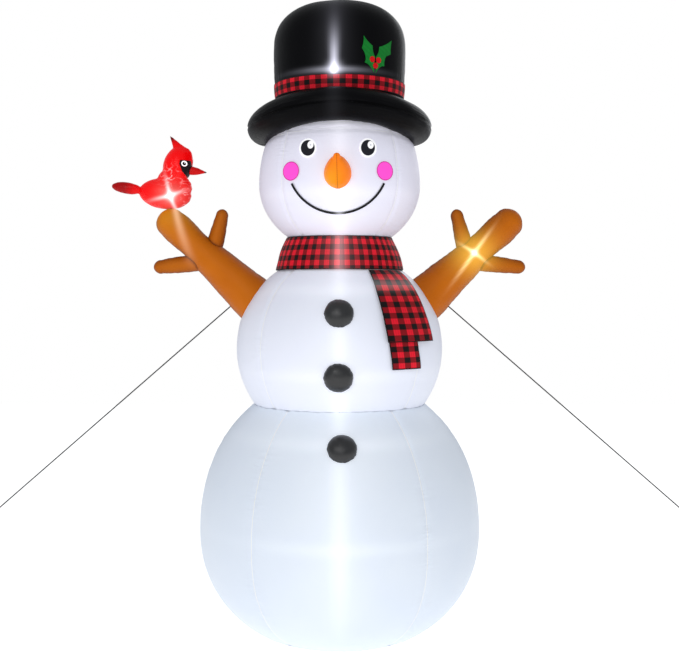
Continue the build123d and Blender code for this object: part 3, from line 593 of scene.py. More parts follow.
# Painted shade towards the seams along the arms' outline.
BROWN = inflated_cloth("brown_cloth", srgb(214, 116, 4), srgb(196, 98, 0), srgb(96, 38, 6), roughness=0.46,
                       edge=1.0, seam_width=0.0060, pucker=0.0012, fold=0.0016, fold_scale=16.0)
ORANGE = inflated_cloth("orange_cloth", srgb(255, 142, 18), srgb(250, 126, 10), srgb(112, 56, 8),
                        seam_width=0.0014, fold=0.0008, fold_scale=24.0)
BERRY = inflated_cloth("berry_cloth", srgb(226, 14, 22), srgb(190, 6, 14), srgb(110, 4, 8), roughness=0.22,
                       seam_width=0.0012, fold=0.0, pucker=0.0)
CREST_TIP = Vector((-0.664, 0.0, 1.935))
# Painted shade: the crest's tip and the tail's end darkened.
BIRD_PAINTED_SHADE = ((CREST_TIP, 0.030, srgb(96, 4, 8)), ((-0.885, 0.0, 1.738), 0.085, srgb(150, 2, 6)))
# Painted shade towards the seam round the bird's outline.
BIRD_RED = inflated_cloth("bird_cloth", srgb(250, 8, 12), srgb(226, 2, 8), srgb(120, 4, 8), roughness=0.26,
                          pucker=0.0016, fold=0.004, fold_scale=15.0, tints_and_painted_shade=BIRD_PAINTED_SHADE, specular=0.16,
                          edge=0.7, seam_width=0.003)
BEAK_RED = inflated_cloth("beak_cloth", srgb(236, 14, 14), srgb(206, 6, 8), srgb(120, 4, 8), roughness=0.3,
                          seam_width=0.001, fold=0.0006, fold_scale=40.0,
                          tints_and_painted_shade=(((-0.520, 0.0, 1.791), 0.013, srgb(50, 8, 8)),))
COLLAR_CHECK, BAND_CHECK = 0.036, 0.046
COLLAR_PLAID = plaid("plaid_collar", COLLAR_CHECK, 0.042, 0.005)
BAND_PLAID = plaid("plaid_band", BAND_CHECK, 0.0365, 0.0185)
TAIL_PLAID = plaid("plaid_tails", 0.058, 0.0405, 0.004)
WEBBING = webbing("strap_webbing", srgb(24, 24, 26))
CORD = braided("tether_braid", srgb(14, 14, 15))


# ---- Tethers ------------------------------------------------------------------------------------
ROPE_ANCHOR, ROPE_FAR = Vector((0.372, 0.084, 1.323)), Vector((1.494, 0.250, 0.361))
ROPE_R = 0.0025
ROPE_FROM, ROPE_TO, ROPE_EXIT = 0.052, 1.440, 0.044
NEAR_LOOP_AT, NEAR_LOOP_R = 0.0444, 0.007
NEAR_KNOT, FAR_KNOT = (0.0524, 0.0704), (1.4262, 1.4452)
END_LOOP_AT, END_LOOP_R = 1.46524, 0.0195
WRAP_R = 0.0021


def rope_axes(side):
    """Start of the tether's line, its direction, and the direction across it in the loops' plane."""
    mirror = Vector((side, 1.0, 1.0))
    along = (ROPE_FAR - ROPE_ANCHOR).normalized() * mirror
    return ROPE_ANCHOR * mirror, along, along.cross(Vector((0.0, 1.0, 0.0))).normalized()


def rope_curve(name, points):
    curve = bpy.data.curves.new(name, "CURVE")
    curve.dimensions = "3D"
    curve.bevel_depth = ROPE_R
    curve.bevel_resolution = 4
    spline = curve.splines.new("NURBS")
    spline.points.add(len(points) - 1)
    for spot, point in zip(spline.points, points):
        spot.co = (*point, 1.0)
    spline.order_u = 3
    spline.use_endpoint_u = True
    return in_scene(name, curve)


def loop_piece(name, start, along, across, at, radius):
    """Round eye of rope."""
    points = [start + along * (at + radius * math.cos(a)) + across * radius * math.sin(a)
              for a in (TURN * i / 40 for i in range(40))]
    return surface(name, tube_rows(points, ROPE_R, closed=True), closed_rows=True)


def wrap_piece(name, start, along, across, span):
    """Turns of rope pulled tight round the rope."""
    other = along.cross(across)
    steps = 26
    turns = (span[1] - span[0]) / (2.05 * WRAP_R) - 1
    points = []
    for i in range(round(turns * steps) + 1):
        angle = TURN * i / steps
        at = span[0] + WRAP_R + (span[1] - span[0] - 2 * WRAP_R) * i / (turns * steps)
        points.append(start + along * at + (across * math.cos(angle) + other * math.sin(angle)) * 2 * WRAP_R)
    return surface(name, tube_rows(points, WRAP_R, 8), caps=(True, True))


def tether(side_name, side):
    start, along, across = rope_axes(side)
    six_thick = 12 * ROPE_R
    rope = rope_curve("tether_" + side_name, [start + along * at for at in (
        ROPE_FROM, ROPE_FROM + six_thick, ROPE_TO - six_thick, ROPE_TO)])
    place(rope, CORD, "tether_cord", "tether_rope_" + side_name)
    knots = [
        loop_piece("near_loop_" + side_name, start, along, across, NEAR_LOOP_AT, NEAR_LOOP_R),
        wrap_piece("near_knot_" + side_name, start, along, across, NEAR_KNOT),
        wrap_piece("far_knot_" + side_name, start, along, across, FAR_KNOT),
        loop_piece("end_loop_" + side_name, start, along, across, END_LOOP_AT, END_LOOP_R),
    ]
    for knot in knots:
        place(knot, CORD, "tether_cord", "rope_knots_" + side_name)


for side_name, side in SIDES.items():
    tether(side_name, side)


# ---- Light from the lamps inside ----------------------------------------------------------------
BAND_LIGHTS = (0.430, 0.779, 1.017, 1.331, 1.688)


def white_glow(p):
    """Upright streak on the front and the back, a band at each lamp, and a broad pool between them."""
    across = abs(p.x)
    facing_out = ease(0.02, 0.2, abs(p.y))
    streak = 0.12 * bell(across, 0.030) + 0.07 * bell(across, 0.10)
    bands = sum(bell(p.z - z, 0.024) for z in BAND_LIGHTS) * 0.07 * bell(across, 0.30)
    pool = 0.15 * bell(across, 0.40) * (0.8 + 0.3 * bell(p.z - 0.87, 0.22) + 0.2 * bell(p.z - 1.60, 0.2))
    light = (streak + bands + pool) * facing_out * ease(-0.02, 0.40, p.z)
    return (light * 0.97, light * 0.98, light)


HAT_LAMP = Vector((-0.020, 0.0, 2.146))


def hat_glow(p):
    """Narrow streak that widens upwards, and a flat ray along the top of the band."""
    if abs(p.y) < 0.08:
        return (0.0, 0.0, 0.0)
    across, up = p.x - HAT_LAMP.x, p.z - HAT_LAMP.z
    light = 0.0
    if up > -0.02:
        light += 0.95 * bell(across, 0.011 + 0.05 * up) * bell(max(up, 0.0), 0.105)
        light += 0.02 * bell(across, 0.06)
    light += 0.012 * bell(across, 0.03)
    light += 0.7 * bell(up + 0.004, 0.010) * math.exp(-abs(across) / 0.055)
    light += 0.9 * bell(math.hypot(across, up), 0.022)
    return (light * 0.84, light * 0.84, light)


def ray(x, z, towards, length, width):
    """Brightness of one straight ray from a lamp, at x and z from it."""
    along = x * towards[0] + z * towards[1]
    across = z * towards[0] - x * towards[1]
    return bell(across, width) * bell(max(along, 0.0), length) * ease(-0.004, 0.004, along)


def star(x, z, width, rays):
    """Brightness of a star's rays: (direction, length)."""
    return sum(ray(x, z, (math.cos(a), math.sin(a)), length, width) for a, length in rays)


ARM_LAMP = (0.523, 1.475)
ARM_RAYS = ((0.94, 0.085), (0.94 + math.pi, 0.100), (-0.61, 0.050), (-0.61 + math.pi, 0.048))
BIRD_LAMP = (-0.656, 1.696)
BIRD_RAYS = ((1.83, 0.060), (3.35, 0.060), (0.40, 0.045), (-1.28, 0.06))


def arm_glow(p):
    """Star on the right arm, with warm light round it."""
    x, z = p.x - ARM_LAMP[0], p.z - ARM_LAMP[1]
    far = math.hypot(x, z)
    rays = star(x, z, 0.0065, ARM_RAYS)
    core, warm = bell(far, 0.012), bell(far, 0.080)
    return (0.9 * rays + core + 0.5 * warm, 0.8 * rays + core + 0.36 * warm, 0.45 * rays + core + 0.05 * warm)


def bird_arm_glow(p):
    """Long pale ray down the left arm from the bird's lamp, and the bright end of the arm under the bird."""
    x, z = p.x - BIRD_LAMP[0], p.z - BIRD_LAMP[1]
    down = ray(x, z, (0.291, -0.957), 0.21, 0.008 + 0.05 * max(-z, 0.0)) * ease(0.32, 0.22, -z)
    tip = bell(math.hypot(x, z), 0.11)
    return (0.42 * down + 0.22 * tip, 0.34 * down + 0.15 * tip, 0.26 * down + 0.01 * tip)


def bird_glow(p):
    """Star on the belly, a painted highlight on the creases at the neck and the breast, and red light through
    the cloth.
    """
    x, z = p.x - BIRD_LAMP[0], p.z - BIRD_LAMP[1]
    far = math.hypot(x, z)
    rays = star(x, z, 0.007, BIRD_RAYS)
    crease = 1 - abs(ripple(p.x * 40, p.y * 20, p.z * 62))
    at_neck = bell(math.hypot(p.x + 0.655, p.z - 1.772), 0.036)
    at_breast = bell(p.x + 0.603, 0.014) * bell(p.z - 1.700, 0.045)
    # Painted highlight: white streaks along the creases at the neck and the breast.
    painted_crease_highlight = crease**30 * (at_neck + 0.7 * at_breast)
    white = min(0.9 * rays + bell(far, 0.016) + 0.85 * painted_crease_highlight, 1.2)
    off_crest = ease(0.008, 0.045, math.hypot(p.x - CREST_TIP.x, p.z - CREST_TIP.z))
    red = (0.34 - 0.20 * ease(-0.77, -0.84, p.x)) * off_crest
    return (white + red, white + 0.14 * bell(far, 0.05), white + 0.12 * bell(far, 0.05))


def collar_glow(p):
    """Upright streak, stronger on the front."""
    light = 0.32 * bell(p.x, 0.022) + 0.08 * bell(p.x, 0.07) if p.y < 0 else 0.15 * bell(p.x, 0.03)
    return (light, 0.55 * light, 0.58 * light)


def tail_glow(p):
    """Level band near the top of the tails."""
    light = 0.11 * bell(p.z - 1.352, 0.022)
    return (light, light, light)


def nose_glow(p):
    """Warm light through the nose, yellower low on the left and redder on the right."""
    low_left = bell(math.hypot(p.x + 0.035, p.z - 1.725), 0.04)
    rim = ease(0.02, 0.05, p.x)
    return (0.12 + 0.1 * rim, 0.10 * low_left + 0.01, 0.0)


# ---- The four big air-filled forms --------------------------------------------------------------
def gore_azimuths(seams, per_gore):
    """Azimuths once round the axis, crowded at the seams, and the first again at the end."""
    result = []
    for start, end in zip(seams, [*seams[1:], seams[0] + 360]):
        for i in range(per_gore):
            t = i / per_gore
            crowded = t - 0.8 * math.sin(TURN * t) / TURN
            result.append(math.radians(start + (end - start) * crowded))
    return [*result, result[0] + TURN]


def seam_distance(azimuth, seams, r):
    """Way round to the nearest seam."""
    turns = [(azimuth - math.radians(seam)) / TURN for seam in seams]
    return min(abs(turn - round(turn)) for turn in turns) * TURN * r


def revolved(name, line, seams, per_gore, relief, glow, caps=(False, False), edge=None):
    """Cloth round the axis, moved out along its normal by relief(azimuth, z, seam distance).
    An edge(azimuth) gives the height of a level seam."""
    azimuths = gore_azimuths(seams, per_gore)
    widest_r = max(r for r, _ in line)
    rows = []
    v = 0.0
    for i, (r, z) in enumerate(line):
        (r0, z0), (r1, z1) = line[max(i - 1, 0)], line[min(i + 1, len(line) - 1)]
        slant = math.hypot(r1 - r0, z1 - z0)
        out_r, out_z = (z1 - z0) / slant, (r0 - r1) / slant
        if i:
            v += math.hypot(r - line[i - 1][0], z - line[i - 1][1])
        row = []
        for azimuth in azimuths:
            near = seam_distance(azimuth, seams, r)
            if edge:
                near = min(near, abs(z - edge(azimuth)))
            offset = relief(azimuth, z, near) - SET_BACK
            point = ring_point(azimuth, max(r + offset * out_r, 0.0005), z + offset * out_z)
            row.append(Spot(point, near, azimuth * widest_r, v))
        rows.append(row)
    return surface(name, rows, caps=caps, glow=glow)


def slack(azimuth, z, near, seed, amount=0.0022, crimp=0.0022):
    """Seam valley, gathers beside it, and slow slackness of the cloth."""
    x, y = math.sin(azimuth), math.cos(azimuth)
    valley = -0.0042 * bell(near, 0.012)
    uneven = ease(-0.25, 0.45, ripple(x * 2.3, z * 5.1, seed))
    gathers = crimp * uneven * bell(near, 0.055) * ripple(x * 9.0, y * 9.0, z * 42.0 + seed)
    slow = amount * ripple(x * 1.7, y * 1.7, z * 3.2 + seed)
    return valley + gathers + slow


BLOWER_Z = middle("impeller").z
CUFF_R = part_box("blower_cuff")[1][0] + 0.0003
ZIP_Z = middle("zipper_coil").z
BODY_SEAMS = [-35, 35, 92, 149, 211, 268]
CHEST_SEAMS = [-47, 47, 133, 227]
HEAD_SEAMS = [-44, 44, 136, 224]
HAT_SEAMS = [-90, 90]


def body_relief(azimuth, z, near):
    """Slack cloth, flat at the zipper, pulled in folds round the blower's cuff and pleated at both ends."""
    at_zip = bell(z - ZIP_Z, 0.05) * ease(2.55, 2.75, abs(math.remainder(azimuth, TURN)))
    x = BELLY_R * math.sin(azimuth)
    around_cuff = math.hypot(x, z - BLOWER_Z) if math.cos(azimuth) < 0 else 1.0
    turn = math.atan2(z - BLOWER_Z, x)
    fading = math.exp(-max(around_cuff - CUFF_R, 0.0) / 0.03)
    pull = 0.004 * math.sin(17 * turn) * fading * (around_cuff < 0.3)
    pleats = 0.0018 * math.exp(-(WAIST_Z - z) / 0.035) * ripple(azimuth * 14.0, 0.0, 5.0)
    hem = 0.0016 * math.exp(-z / 0.03) * ripple(azimuth * 16.0, 2.0, 1.0)
    return (slack(azimuth, z, near, 3.0) + pull + pleats + hem) * (1 - at_zip)


def chest_relief(azimuth, z, near):
    """Slack cloth, pleated at the waist and creased round the arms."""
    pleats = 0.002 * math.exp(-(z - WAIST_Z) / 0.03) * ripple(azimuth * 15.0, 0.0, 9.0)
    level = min(slack(azimuth, z, near, 11.0, 0.0016), 0.0006)
    side = math.cos(azimuth) if abs(math.sin(azimuth)) > 0.9 else 1.0
    at_arm = bell(side * CHEST_R, 0.11) * bell(z - ARM_ROOT.z, 0.13) if abs(side) < 0.5 else 0.0
    folds = 0.004 * at_arm * ripple(azimuth * 12.0, z * 20.0, 2.0)
    return level + pleats + folds


def brow_seam(azimuth):
    """Height of the level seam above the eyes."""
    return 1.905 + 0.018 * math.cos(azimuth)


def head_relief(azimuth, z, near):
    """Slack cloth that only sinks on the face, under the prints."""
    relief = slack(azimuth, z, near, 17.0, 0.0016, 0.0018)
    front = ease(0.75, 0.95, math.cos(azimuth) + 0.12)
    return relief * (1 - front) + min(relief, 0.0) * front


def hat_relief(azimuth, z, near):
    """Slack cloth, tucked above the band."""
    tuck = 0.0028 * math.exp(-abs(z - BAND_TOP_Z) / 0.02) * ripple(azimuth * 18.0, 0.0, 4.0)
    return slack(azimuth, z, near, 23.0, 0.003) + tuck * (z > BAND_TOP_Z + 0.004)


def open_for_cuff(obj):
    """Pulls the cloth inside the blower's cuff onto its edge and takes away what spanned the opening."""
    mesh = obj.data
    inside = set()
    for vertex in mesh.vertices:
        x, z = vertex.co.x, vertex.co.z - BLOWER_Z
        reach = math.hypot(x, z)
        if vertex.co.y > 0 and reach < CUFF_R:
            inside.add(vertex.index)
            turn = math.atan2(z, x)
            r = math.hypot(vertex.co.x, vertex.co.y)
            x = CUFF_R * math.cos(turn)
            vertex.co = (x, math.sqrt(r * r - x * x), BLOWER_Z + CUFF_R * math.sin(turn))
    spanned = [p.index for p in mesh.polygons if all(v in inside for v in p.vertices)]
    bm = bmesh.new()
    bm.from_mesh(mesh)
    bm.faces.ensure_lookup_table()
    bmesh.ops.delete(bm, geom=[bm.faces[i] for i in spanned], context="FACES")
    bm.to_mesh(mesh)
    bm.free()


def big_forms():
    body = revolved("body_cloth", BODY_LINE, BODY_SEAMS, 52, body_relief, white_glow)
    open_for_cuff(body)
    place(body, WHITE_LOW, "white_fabric", "lower_body")
    chest = revolved("chest_cloth", CHEST_LINE + NECK_LINE, CHEST_SEAMS, 72, chest_relief, white_glow)
    place(chest, WHITE_CHEST, "white_fabric", "torso")
    head = revolved("head_cloth", HEAD_LINE, HEAD_SEAMS, 72, head_relief, white_glow, edge=brow_seam)
    place(head, WHITE_HIGH, "white_fabric", "head")
    hat = revolved("hat_cloth", HAT_LINE, HAT_SEAMS, 150, hat_relief, hat_glow, caps=(False, True))
    place(hat, BLACK, "black_fabric", "hat_crown")


big_forms()


# ---- Hat brim and band --------------------------------------------------------------------------
BRIM_MID_R, BRIM_Z, BRIM_DROOP, BRIM_TUBE_R = 0.297, 1.985, 0.024, 0.063


def brim():
    """Air-filled ring that droops at the sides, gathered where it meets the crown."""
    azimuths = gore_azimuths(HAT_SEAMS, 150)
    rows = []
    steps = 44
    for i in range(steps):
        around = TURN * i / steps
        row = []
        for azimuth in azimuths:
            centre_z = BRIM_Z + BRIM_DROOP * math.cos(2 * azimuth)
            inward = ease(0.2, -0.9, math.cos(around))
            wave = 0.0042 * inward * ripple(azimuth * 13.0, 0.0, math.sin(around))
            wave += 0.002 * ripple(azimuth * 3.1, math.cos(around), math.sin(around))
            size = BRIM_TUBE_R + wave - 0.0035 * bell(math.remainder(around, TURN), 0.05)
            r = BRIM_MID_R + size * math.cos(around)
            z = centre_z + 0.96 * size * math.sin(around)
            near = abs(math.remainder(around, TURN)) * BRIM_TUBE_R
            row.append(Spot(ring_point(azimuth, r, z), near, azimuth * BRIM_MID_R, around * BRIM_TUBE_R))
        rows.append(row)
    obj = surface("brim_cloth", rows, closed_rows=True, glow=hat_glow)
    place(obj, BLACK, "black_fabric", "hat_brim")


def flat_band(name, low, high, thick, crown, u_round, material, node, glow, waviness):
    """Closed band round the axis between two (radius, height) edges, u_round long in its own pattern."""
    rows = []
    steps = 300
    section, height = band_section(low, high, thick, crown)
    for r, z, v in section:
        row = []
        for i in range(steps + 1):
            azimuth = TURN * i / steps
            wave = waviness * ripple(math.sin(azimuth) * 4.0, math.cos(azimuth) * 4.0, z * 16.0)
            edge = min(v, height - v)
            row.append(Spot(ring_point(azimuth, r + wave, z), edge, azimuth / TURN * u_round, v))
        rows.append(row)
    obj = surface(name, rows, closed_rows=True, glow=glow)
    place(obj, material, "plaid_cloth", node)


def band_section(low, high, thick, crown):
    """Section of a folded cloth band, up its outside and down its inside, as (radius, height, place up the
    cloth) points, and how high the cloth is."""
    run, climb = high[0] - low[0], high[1] - low[1]
    height = math.hypot(run, climb)
    points = []
    count = 14
    for i in range(count + 1):
        t = 0.5 - 0.5 * math.cos(math.pi * i / count)
        swell = thick * 0.5 * math.sin(math.pi * t) ** 0.35 + crown * math.sin(math.pi * t)
        points.append((low[0] + run * t - thick * 0.5 + swell, low[1] + climb * t, height * t))
    for i in range(count - 1, 0, -2):
        t = i / count
        points.append((low[0] + run * t - thick, low[1] + climb * t, height * t))
    return points, height


def bands():
    flat_band("scarf_collar_cloth", (COLLAR_LOW_R, COLLAR_LOW_Z), (COLLAR_TOP_R, COLLAR_TOP_Z), 0.005, 0.004,
              40 * COLLAR_CHECK, COLLAR_PLAID, "scarf_collar", collar_glow, 0.0032)
    low, high = [(radius_on(HAT_LINE, z) + 0.0034, z) for z in (BAND_LOW_Z, BAND_TOP_Z)]
    flat_band("hat_band_cloth", low, high, 0.0024, 0.001,
              35 * BAND_CHECK, BAND_PLAID, "hat_band", hat_glow, 0.0008)


# ---- Scarf tails --------------------------------------------------------------------------------
SCARF_AZ = math.radians(42.0)
TAILS_TOP_Z = COLLAR_LOW_Z - 0.002
FRONT_LEFT = [(1.142, -0.123), (1.220, -0.124), (1.318, -0.110), (1.384, -0.086), (1.408, -0.074)]
FRONT_RIGHT = [(1.142, 0.104), (1.250, 0.092), (1.384, 0.098), (1.408, 0.088)]
REAR_LEFT = [(1.041, -0.098), (1.141, -0.112), (1.240, -0.108), (1.384, -0.078), (1.408, -0.070)]
REAR_RIGHT = [(1.042, 0.040), (1.141, 0.020), (1.384, 0.040), (1.408, 0.044)]


def before_chest(across, z, lift):
    """Point in front of the chest: across the tails, at a height, lifted off the cloth."""
    r = radius_on(CHEST_LINE, min(z, SHOULDER[1])) + lift
    depth = math.sqrt(r * r - across * across)
    return Vector((across * math.cos(SCARF_AZ) + depth * math.sin(SCARF_AZ),
                   across * math.sin(SCARF_AZ) - depth * math.cos(SCARF_AZ), z))


def tail(name, low_z, left, right, lift, flare, thick, flat_width, seed):
    """Hanging length of scarf cloth, a thin closed shell with hems."""
    rows = []
    steps, heights = 26, 64
    for i in range(heights + 1):
        z = low_z + (TAILS_TOP_Z - low_z) * i / heights
        x0, x1 = curve_between(left, z), curve_between(right, z)
        faces = ([], [])
        for j in range(steps + 1):
            t = j / steps
            across = x0 + (x1 - x0) * t
            loose = ease(1.36, low_z, z)
            fold = 0.5 + 0.5 * ripple(t * 4.2 + 1.5 * z, z * 3.0, seed)
            rise = lift + flare * loose * (0.35 * fold + 0.65 * t) + 0.0035 * loose * fold
            near = min(t * (x1 - x0), (1 - t) * (x1 - x0), z - low_z)
            for side, half in zip(faces, (thick / 2, -thick / 2)):
                rim = math.sqrt(max(1 - (2 * t - 1) ** 12, 0.0))
                side.append(Spot(before_chest(across, z, rise + half * (0.4 + 0.6 * rim)), near,
                                 t * flat_width, TAILS_TOP_Z - z))
        ring = faces[0] + faces[1][::-1]
        rows.append([*ring, ring[0]])
    return surface(name, rows, caps=("fold", "fold"), glow=tail_glow)


def hang(obj, lift, flat, rests_on, *nodes):
    """Gives a tail its plaid, hides the CAD nodes that it stands for and bakes its place into its mesh."""
    obj.data.materials.append(TAIL_PLAID)
    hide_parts(*nodes)
    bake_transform(obj)


def tails():
    lift, flat = 0.0042, (0.142, 0.365)
    rear = tail("scarf_rear_tail_cloth", 1.0415, REAR_LEFT, REAR_RIGHT, lift, 0.001, 0.002, flat[0], 3.0)
    hang(rear, lift, flat, ["chest_cloth", "scarf_collar_cloth"], "scarf_rear_tail")
    lift, flat = 0.0098, (0.226, 0.264)
    front = tail("scarf_front_tail_cloth", 1.1422, FRONT_LEFT, FRONT_RIGHT, lift, 0.006, 0.0024, flat[0], 8.0)
    hang(front, lift, flat, ["scarf_rear_tail_cloth", "scarf_collar_cloth"], "scarf_front_tail", "scarf_tab")


brim()
bands()
tails()


# ---- Arms, twigs and nose -----------------------------------------------------------------------
def limb(name, start, tip, stations, upright, glow, seed, around=72, step=0.004, root_line=None, folds=0.0):
    """Tapering air-filled tube with a rounded end, sewn from two halves: (distance, radius) along its axis.
    A root_line(point) gives the distance from the seam at its root."""
    axis = (tip - start).normalized()
    reach = (tip - start).length
    n = (upright - axis * upright.dot(axis)).normalized()
    side = axis.cross(n)
    first, last = stations[0][0], stations[-1][0]
    count = max(round((last - first) / step), 2)
    sections = []
    for i in range(count + 1):
        at = first + (last - first) * i / count
        sections.append((at, curve_between(stations, at)))
    r_last = stations[-1][1]
    for i in range(1, 15):
        a = math.radians(86) * i / 14
        sections.append((last + (reach - last) * math.sin(a), r_last * math.cos(a)))
    rows = []
    for at, r in sections:
        row = []
        for j in range(around + 1):
            t = 2 * j / around
            angle = math.pi * (t - 0.75 * math.sin(TURN * t) / TURN)
            off_seam = min(abs(math.remainder(turned, TURN)) for turned in (angle, angle - math.pi))
            out = n * math.cos(angle) + side * math.sin(angle)
            point = start + axis * at + out * r
            near = off_seam * r
            if root_line:
                near = min(near, 3 * root_line(point))
            crimp = 0.0016 * bell(near, 0.022) * ripple(off_seam * 2.5, seed, at * 62.0)
            crease = folds * math.exp(-max(at - first, 0.0) / 0.16) * ripple(
                math.cos(angle) * 1.4, math.sin(angle) * 1.4, at * 19.0 + seed)
            slow = 0.0018 * ripple(math.cos(angle), math.sin(angle), at * 9.0 + seed)
            size = r * (1 + 0.045 * bell(off_seam, 0.30)) - 0.0012 * bell(near, 0.005)
            size += (crimp + crease + slow) * min(r / 0.03, 1.0)
            row.append(Spot(start + axis * at + out * size, near, angle * r, at))
        rows.append(row)
    return surface(name, rows, caps=(True, True), glow=glow)


def from_arm(start, axis):
    """Function for the distance of a point from the cloth of the arm on an axis."""
    def distance(point):
        at = (point - start).dot(axis)
        return abs((point - start - axis * at).length - curve_between(ARM_STATIONS, at))
    return distance


def arms():
    for side_name, side in SIDES.items():
        mirror = Vector((side, 1.0, 1.0))
        axis = Vector((side * math.cos(ARM_TILT), 0.0, math.sin(ARM_TILT)))
        start = ARM_ROOT * mirror
        glow = arm_glow if side > 0 else bird_arm_glow
        arm = limb(side_name + "_arm_cloth", start, start + axis * ARM_TIP, ARM_STATIONS, UP, glow,
                   2.0 * side, around=96, folds=0.006)
        place(arm, BROWN, "brown_fabric", side_name + "_arm")
        for twig, (root, end, r_root, r_tip) in TWIGS.items():
            root, end = root * mirror, end * mirror
            axis_t, length = (end - root).normalized(), (end - root).length
            stations = [(-0.01, r_root * 1.04), (length * 0.45, r_root), (length * 0.75, r_tip * 0.98),
                        (length, r_tip * 0.86)]
            upright = UP if abs(axis_t.z) < 0.7 else Vector((1.0, 0.0, 0.0))
            piece = limb(f"{side_name}_{twig}_cloth", root, end + axis_t * r_tip, stations, upright, glow,
                         5.0 * side + root.x, root_line=from_arm(start, axis), folds=0.001)
            place(piece, BROWN, "brown_fabric", side_name + "_" + twig)


def nose():
    start, tip = Vector((-0.006, -0.282, 1.739)), Vector((-0.010, -0.424, 1.811))
    reach = (tip - start).length
    stations = [(0.0, 0.048), (reach * 0.3, 0.0495), (reach * 0.6, 0.0345), (reach * 0.85, 0.0135)]
    piece = limb("nose_cloth", start, tip, stations, UP, nose_glow, 9.0, step=0.002)
    place(piece, ORANGE, "orange_fabric", "nose")


arms()
nose()


# ---- Buttons and berries ------------------------------------------------------------------------
DOME_STEPS, DOME_AROUND = 30, 120


def dome(name, centre, normal, radius, height, sunk, pucker, seed):
    """Padded disc that stands on a surface, its skirt sunk under it."""
    across = normal.cross(UP).normalized()
    up = across.cross(normal)
    sections = [(radius * 0.985, -sunk), (radius * 0.995, -sunk / 2)]
    for i in range(DOME_STEPS + 1):
        a = math.radians(88.5) * i / DOME_STEPS
        sections.append((radius * math.cos(a), height * math.sin(a)))
    rows = []
    run = -sunk
    for k, (r, h) in enumerate(sections):
        if k:
            run += math.hypot(r - sections[k - 1][0], h - sections[k - 1][1])
        row = []
        for j in range(DOME_AROUND + 1):
            angle = TURN * j / DOME_AROUND
            x, y = math.cos(angle), math.sin(angle)
            gather = pucker * math.exp(-abs(run) / 0.013) * ripple(x * 5.5, y * 5.5, seed)
            size = r + gather * min(r / radius + 0.1, 1.0)
            slow = ripple(x * r / radius * 1.6, y * r / radius * 1.6, seed + 3.0)
            rise = h + 0.3 * gather + 0.6 * pucker * slow
            point = centre + normal * rise + (across * x + up * y) * size
            row.append(Spot(point, abs(run), run, angle * radius))
        rows.append(row[::-1])
    return surface(name, rows, caps=(False, True))


BUTTONS = (("button_top", -0.002, 1.247, CHEST_LINE), ("button_middle", -0.004, 1.016, CHEST_LINE),
           ("button_bottom", 0.009, 0.769, BODY_LINE))
BERRIES = ((-0.013, 2.183), (0.014, 2.182), (0.001, 2.161))
HOLLY_AZ = math.radians(31.0)


def buttons():
    for name, x, z, line in BUTTONS:
        r = radius_on(line, z)
        slope = (radius_on(line, z + 0.005) - radius_on(line, z - 0.005)) / 0.01
        centre = Vector((x, -math.sqrt(r * r - x * x), z))
        normal = Vector((x / r, centre.y / r, -slope)).normalized()
        piece = dome(name + "_cloth", centre - normal * 0.001, normal, radius=0.0535, height=0.037,
                     sunk=0.009, pucker=0.0022, seed=z)
        place(piece, BUTTON_BLACK, "black_fabric", name)


def berries():
    out = ring_point(HOLLY_AZ, 1.0, 0.0)
    level = Vector((math.cos(HOLLY_AZ), math.sin(HOLLY_AZ), 0.0))
    for i, (u, z) in enumerate(BERRIES):
        r = radius_on(HAT_LINE, z) + 0.0015
        centre = level * u + out * math.sqrt(r * r - u * u) + Vector((0.0, 0.0, z))
        normal = Vector((centre.x, centre.y, 0.0)).normalized()
        piece = dome(f"berry_{i + 1}_cloth", centre, normal, radius=0.0115, height=0.0048, sunk=0.0015,
                     pucker=0.0002, seed=float(i))
        place(piece, BERRY, "red_fabric", "holly_berries")


buttons()
berries()


# ---- Bird ---------------------------------------------------------------------------------------
def in_plane(place_at):
    """Point of the bird's middle plane from its x and z."""
    return Vector((place_at[0], 0.0, place_at[1]))


def revolved_form(bm, start, tip, stations):
    """Adds a closed body of revolution to a mesh: (share of the length, radius) from start to tip, both given
    as (x, z) in the bird's middle plane."""
    start, tip = in_plane(start), in_plane(tip)
    steps, around = 40, 48
    axis = (tip - start).normalized()
    length = (tip - start).length
    n = Vector((0.0, 1.0, 0.0))
    side = axis.cross(n)
    rings = []
    for i in range(steps + 1):
        share = i / steps
        r = max(curve_between(stations, share), 0.0008)
        rings.append([bm.verts.new(start + axis * length * share + (n * math.cos(a) + side * math.sin(a)) * r)
                      for a in (TURN * j / around for j in range(around))])
    for low, high in zip(rings, rings[1:]):
        for j in range(around):
            bm.faces.new((low[j], low[(j + 1) % around], high[(j + 1) % around], high[j]))
    bm.faces.new(rings[0][::-1])
    bm.faces.new(rings[-1])


def oval_stations(half_width):
    """Stations of an egg with an even outline."""
    return [(t, half_width * math.sqrt(max(1 - (2 * t - 1) ** 2, 0.0))) for t in
            (0.5 - 0.5 * math.cos(math.pi * i / 24) for i in range(25))]


# Eggs of the bird's skin, as (x, z) of the two ends and half the width: body, neck, breast, the head's
# two, and tail.
BIRD_EGGS = (
    ((-0.7875, 1.7185), (-0.5795, 1.6975), 0.0612),
    ((-0.704, 1.722), (-0.622, 1.796), 0.051),
    ((-0.642, 1.678), (-0.602, 1.772), 0.042),
    ((-0.657, 1.742), (-0.615, 1.8925), 0.0560),
    ((-0.626, 1.765), (-0.600, 1.890), 0.038),
    ((-0.772, 1.7215), (-0.8965, 1.7400), 0.0245),
)
CREST_STATIONS = [(0.0, 0.032), (0.25, 0.030), (0.5, 0.0205), (0.75, 0.0115), (1.0, 0.0035)]
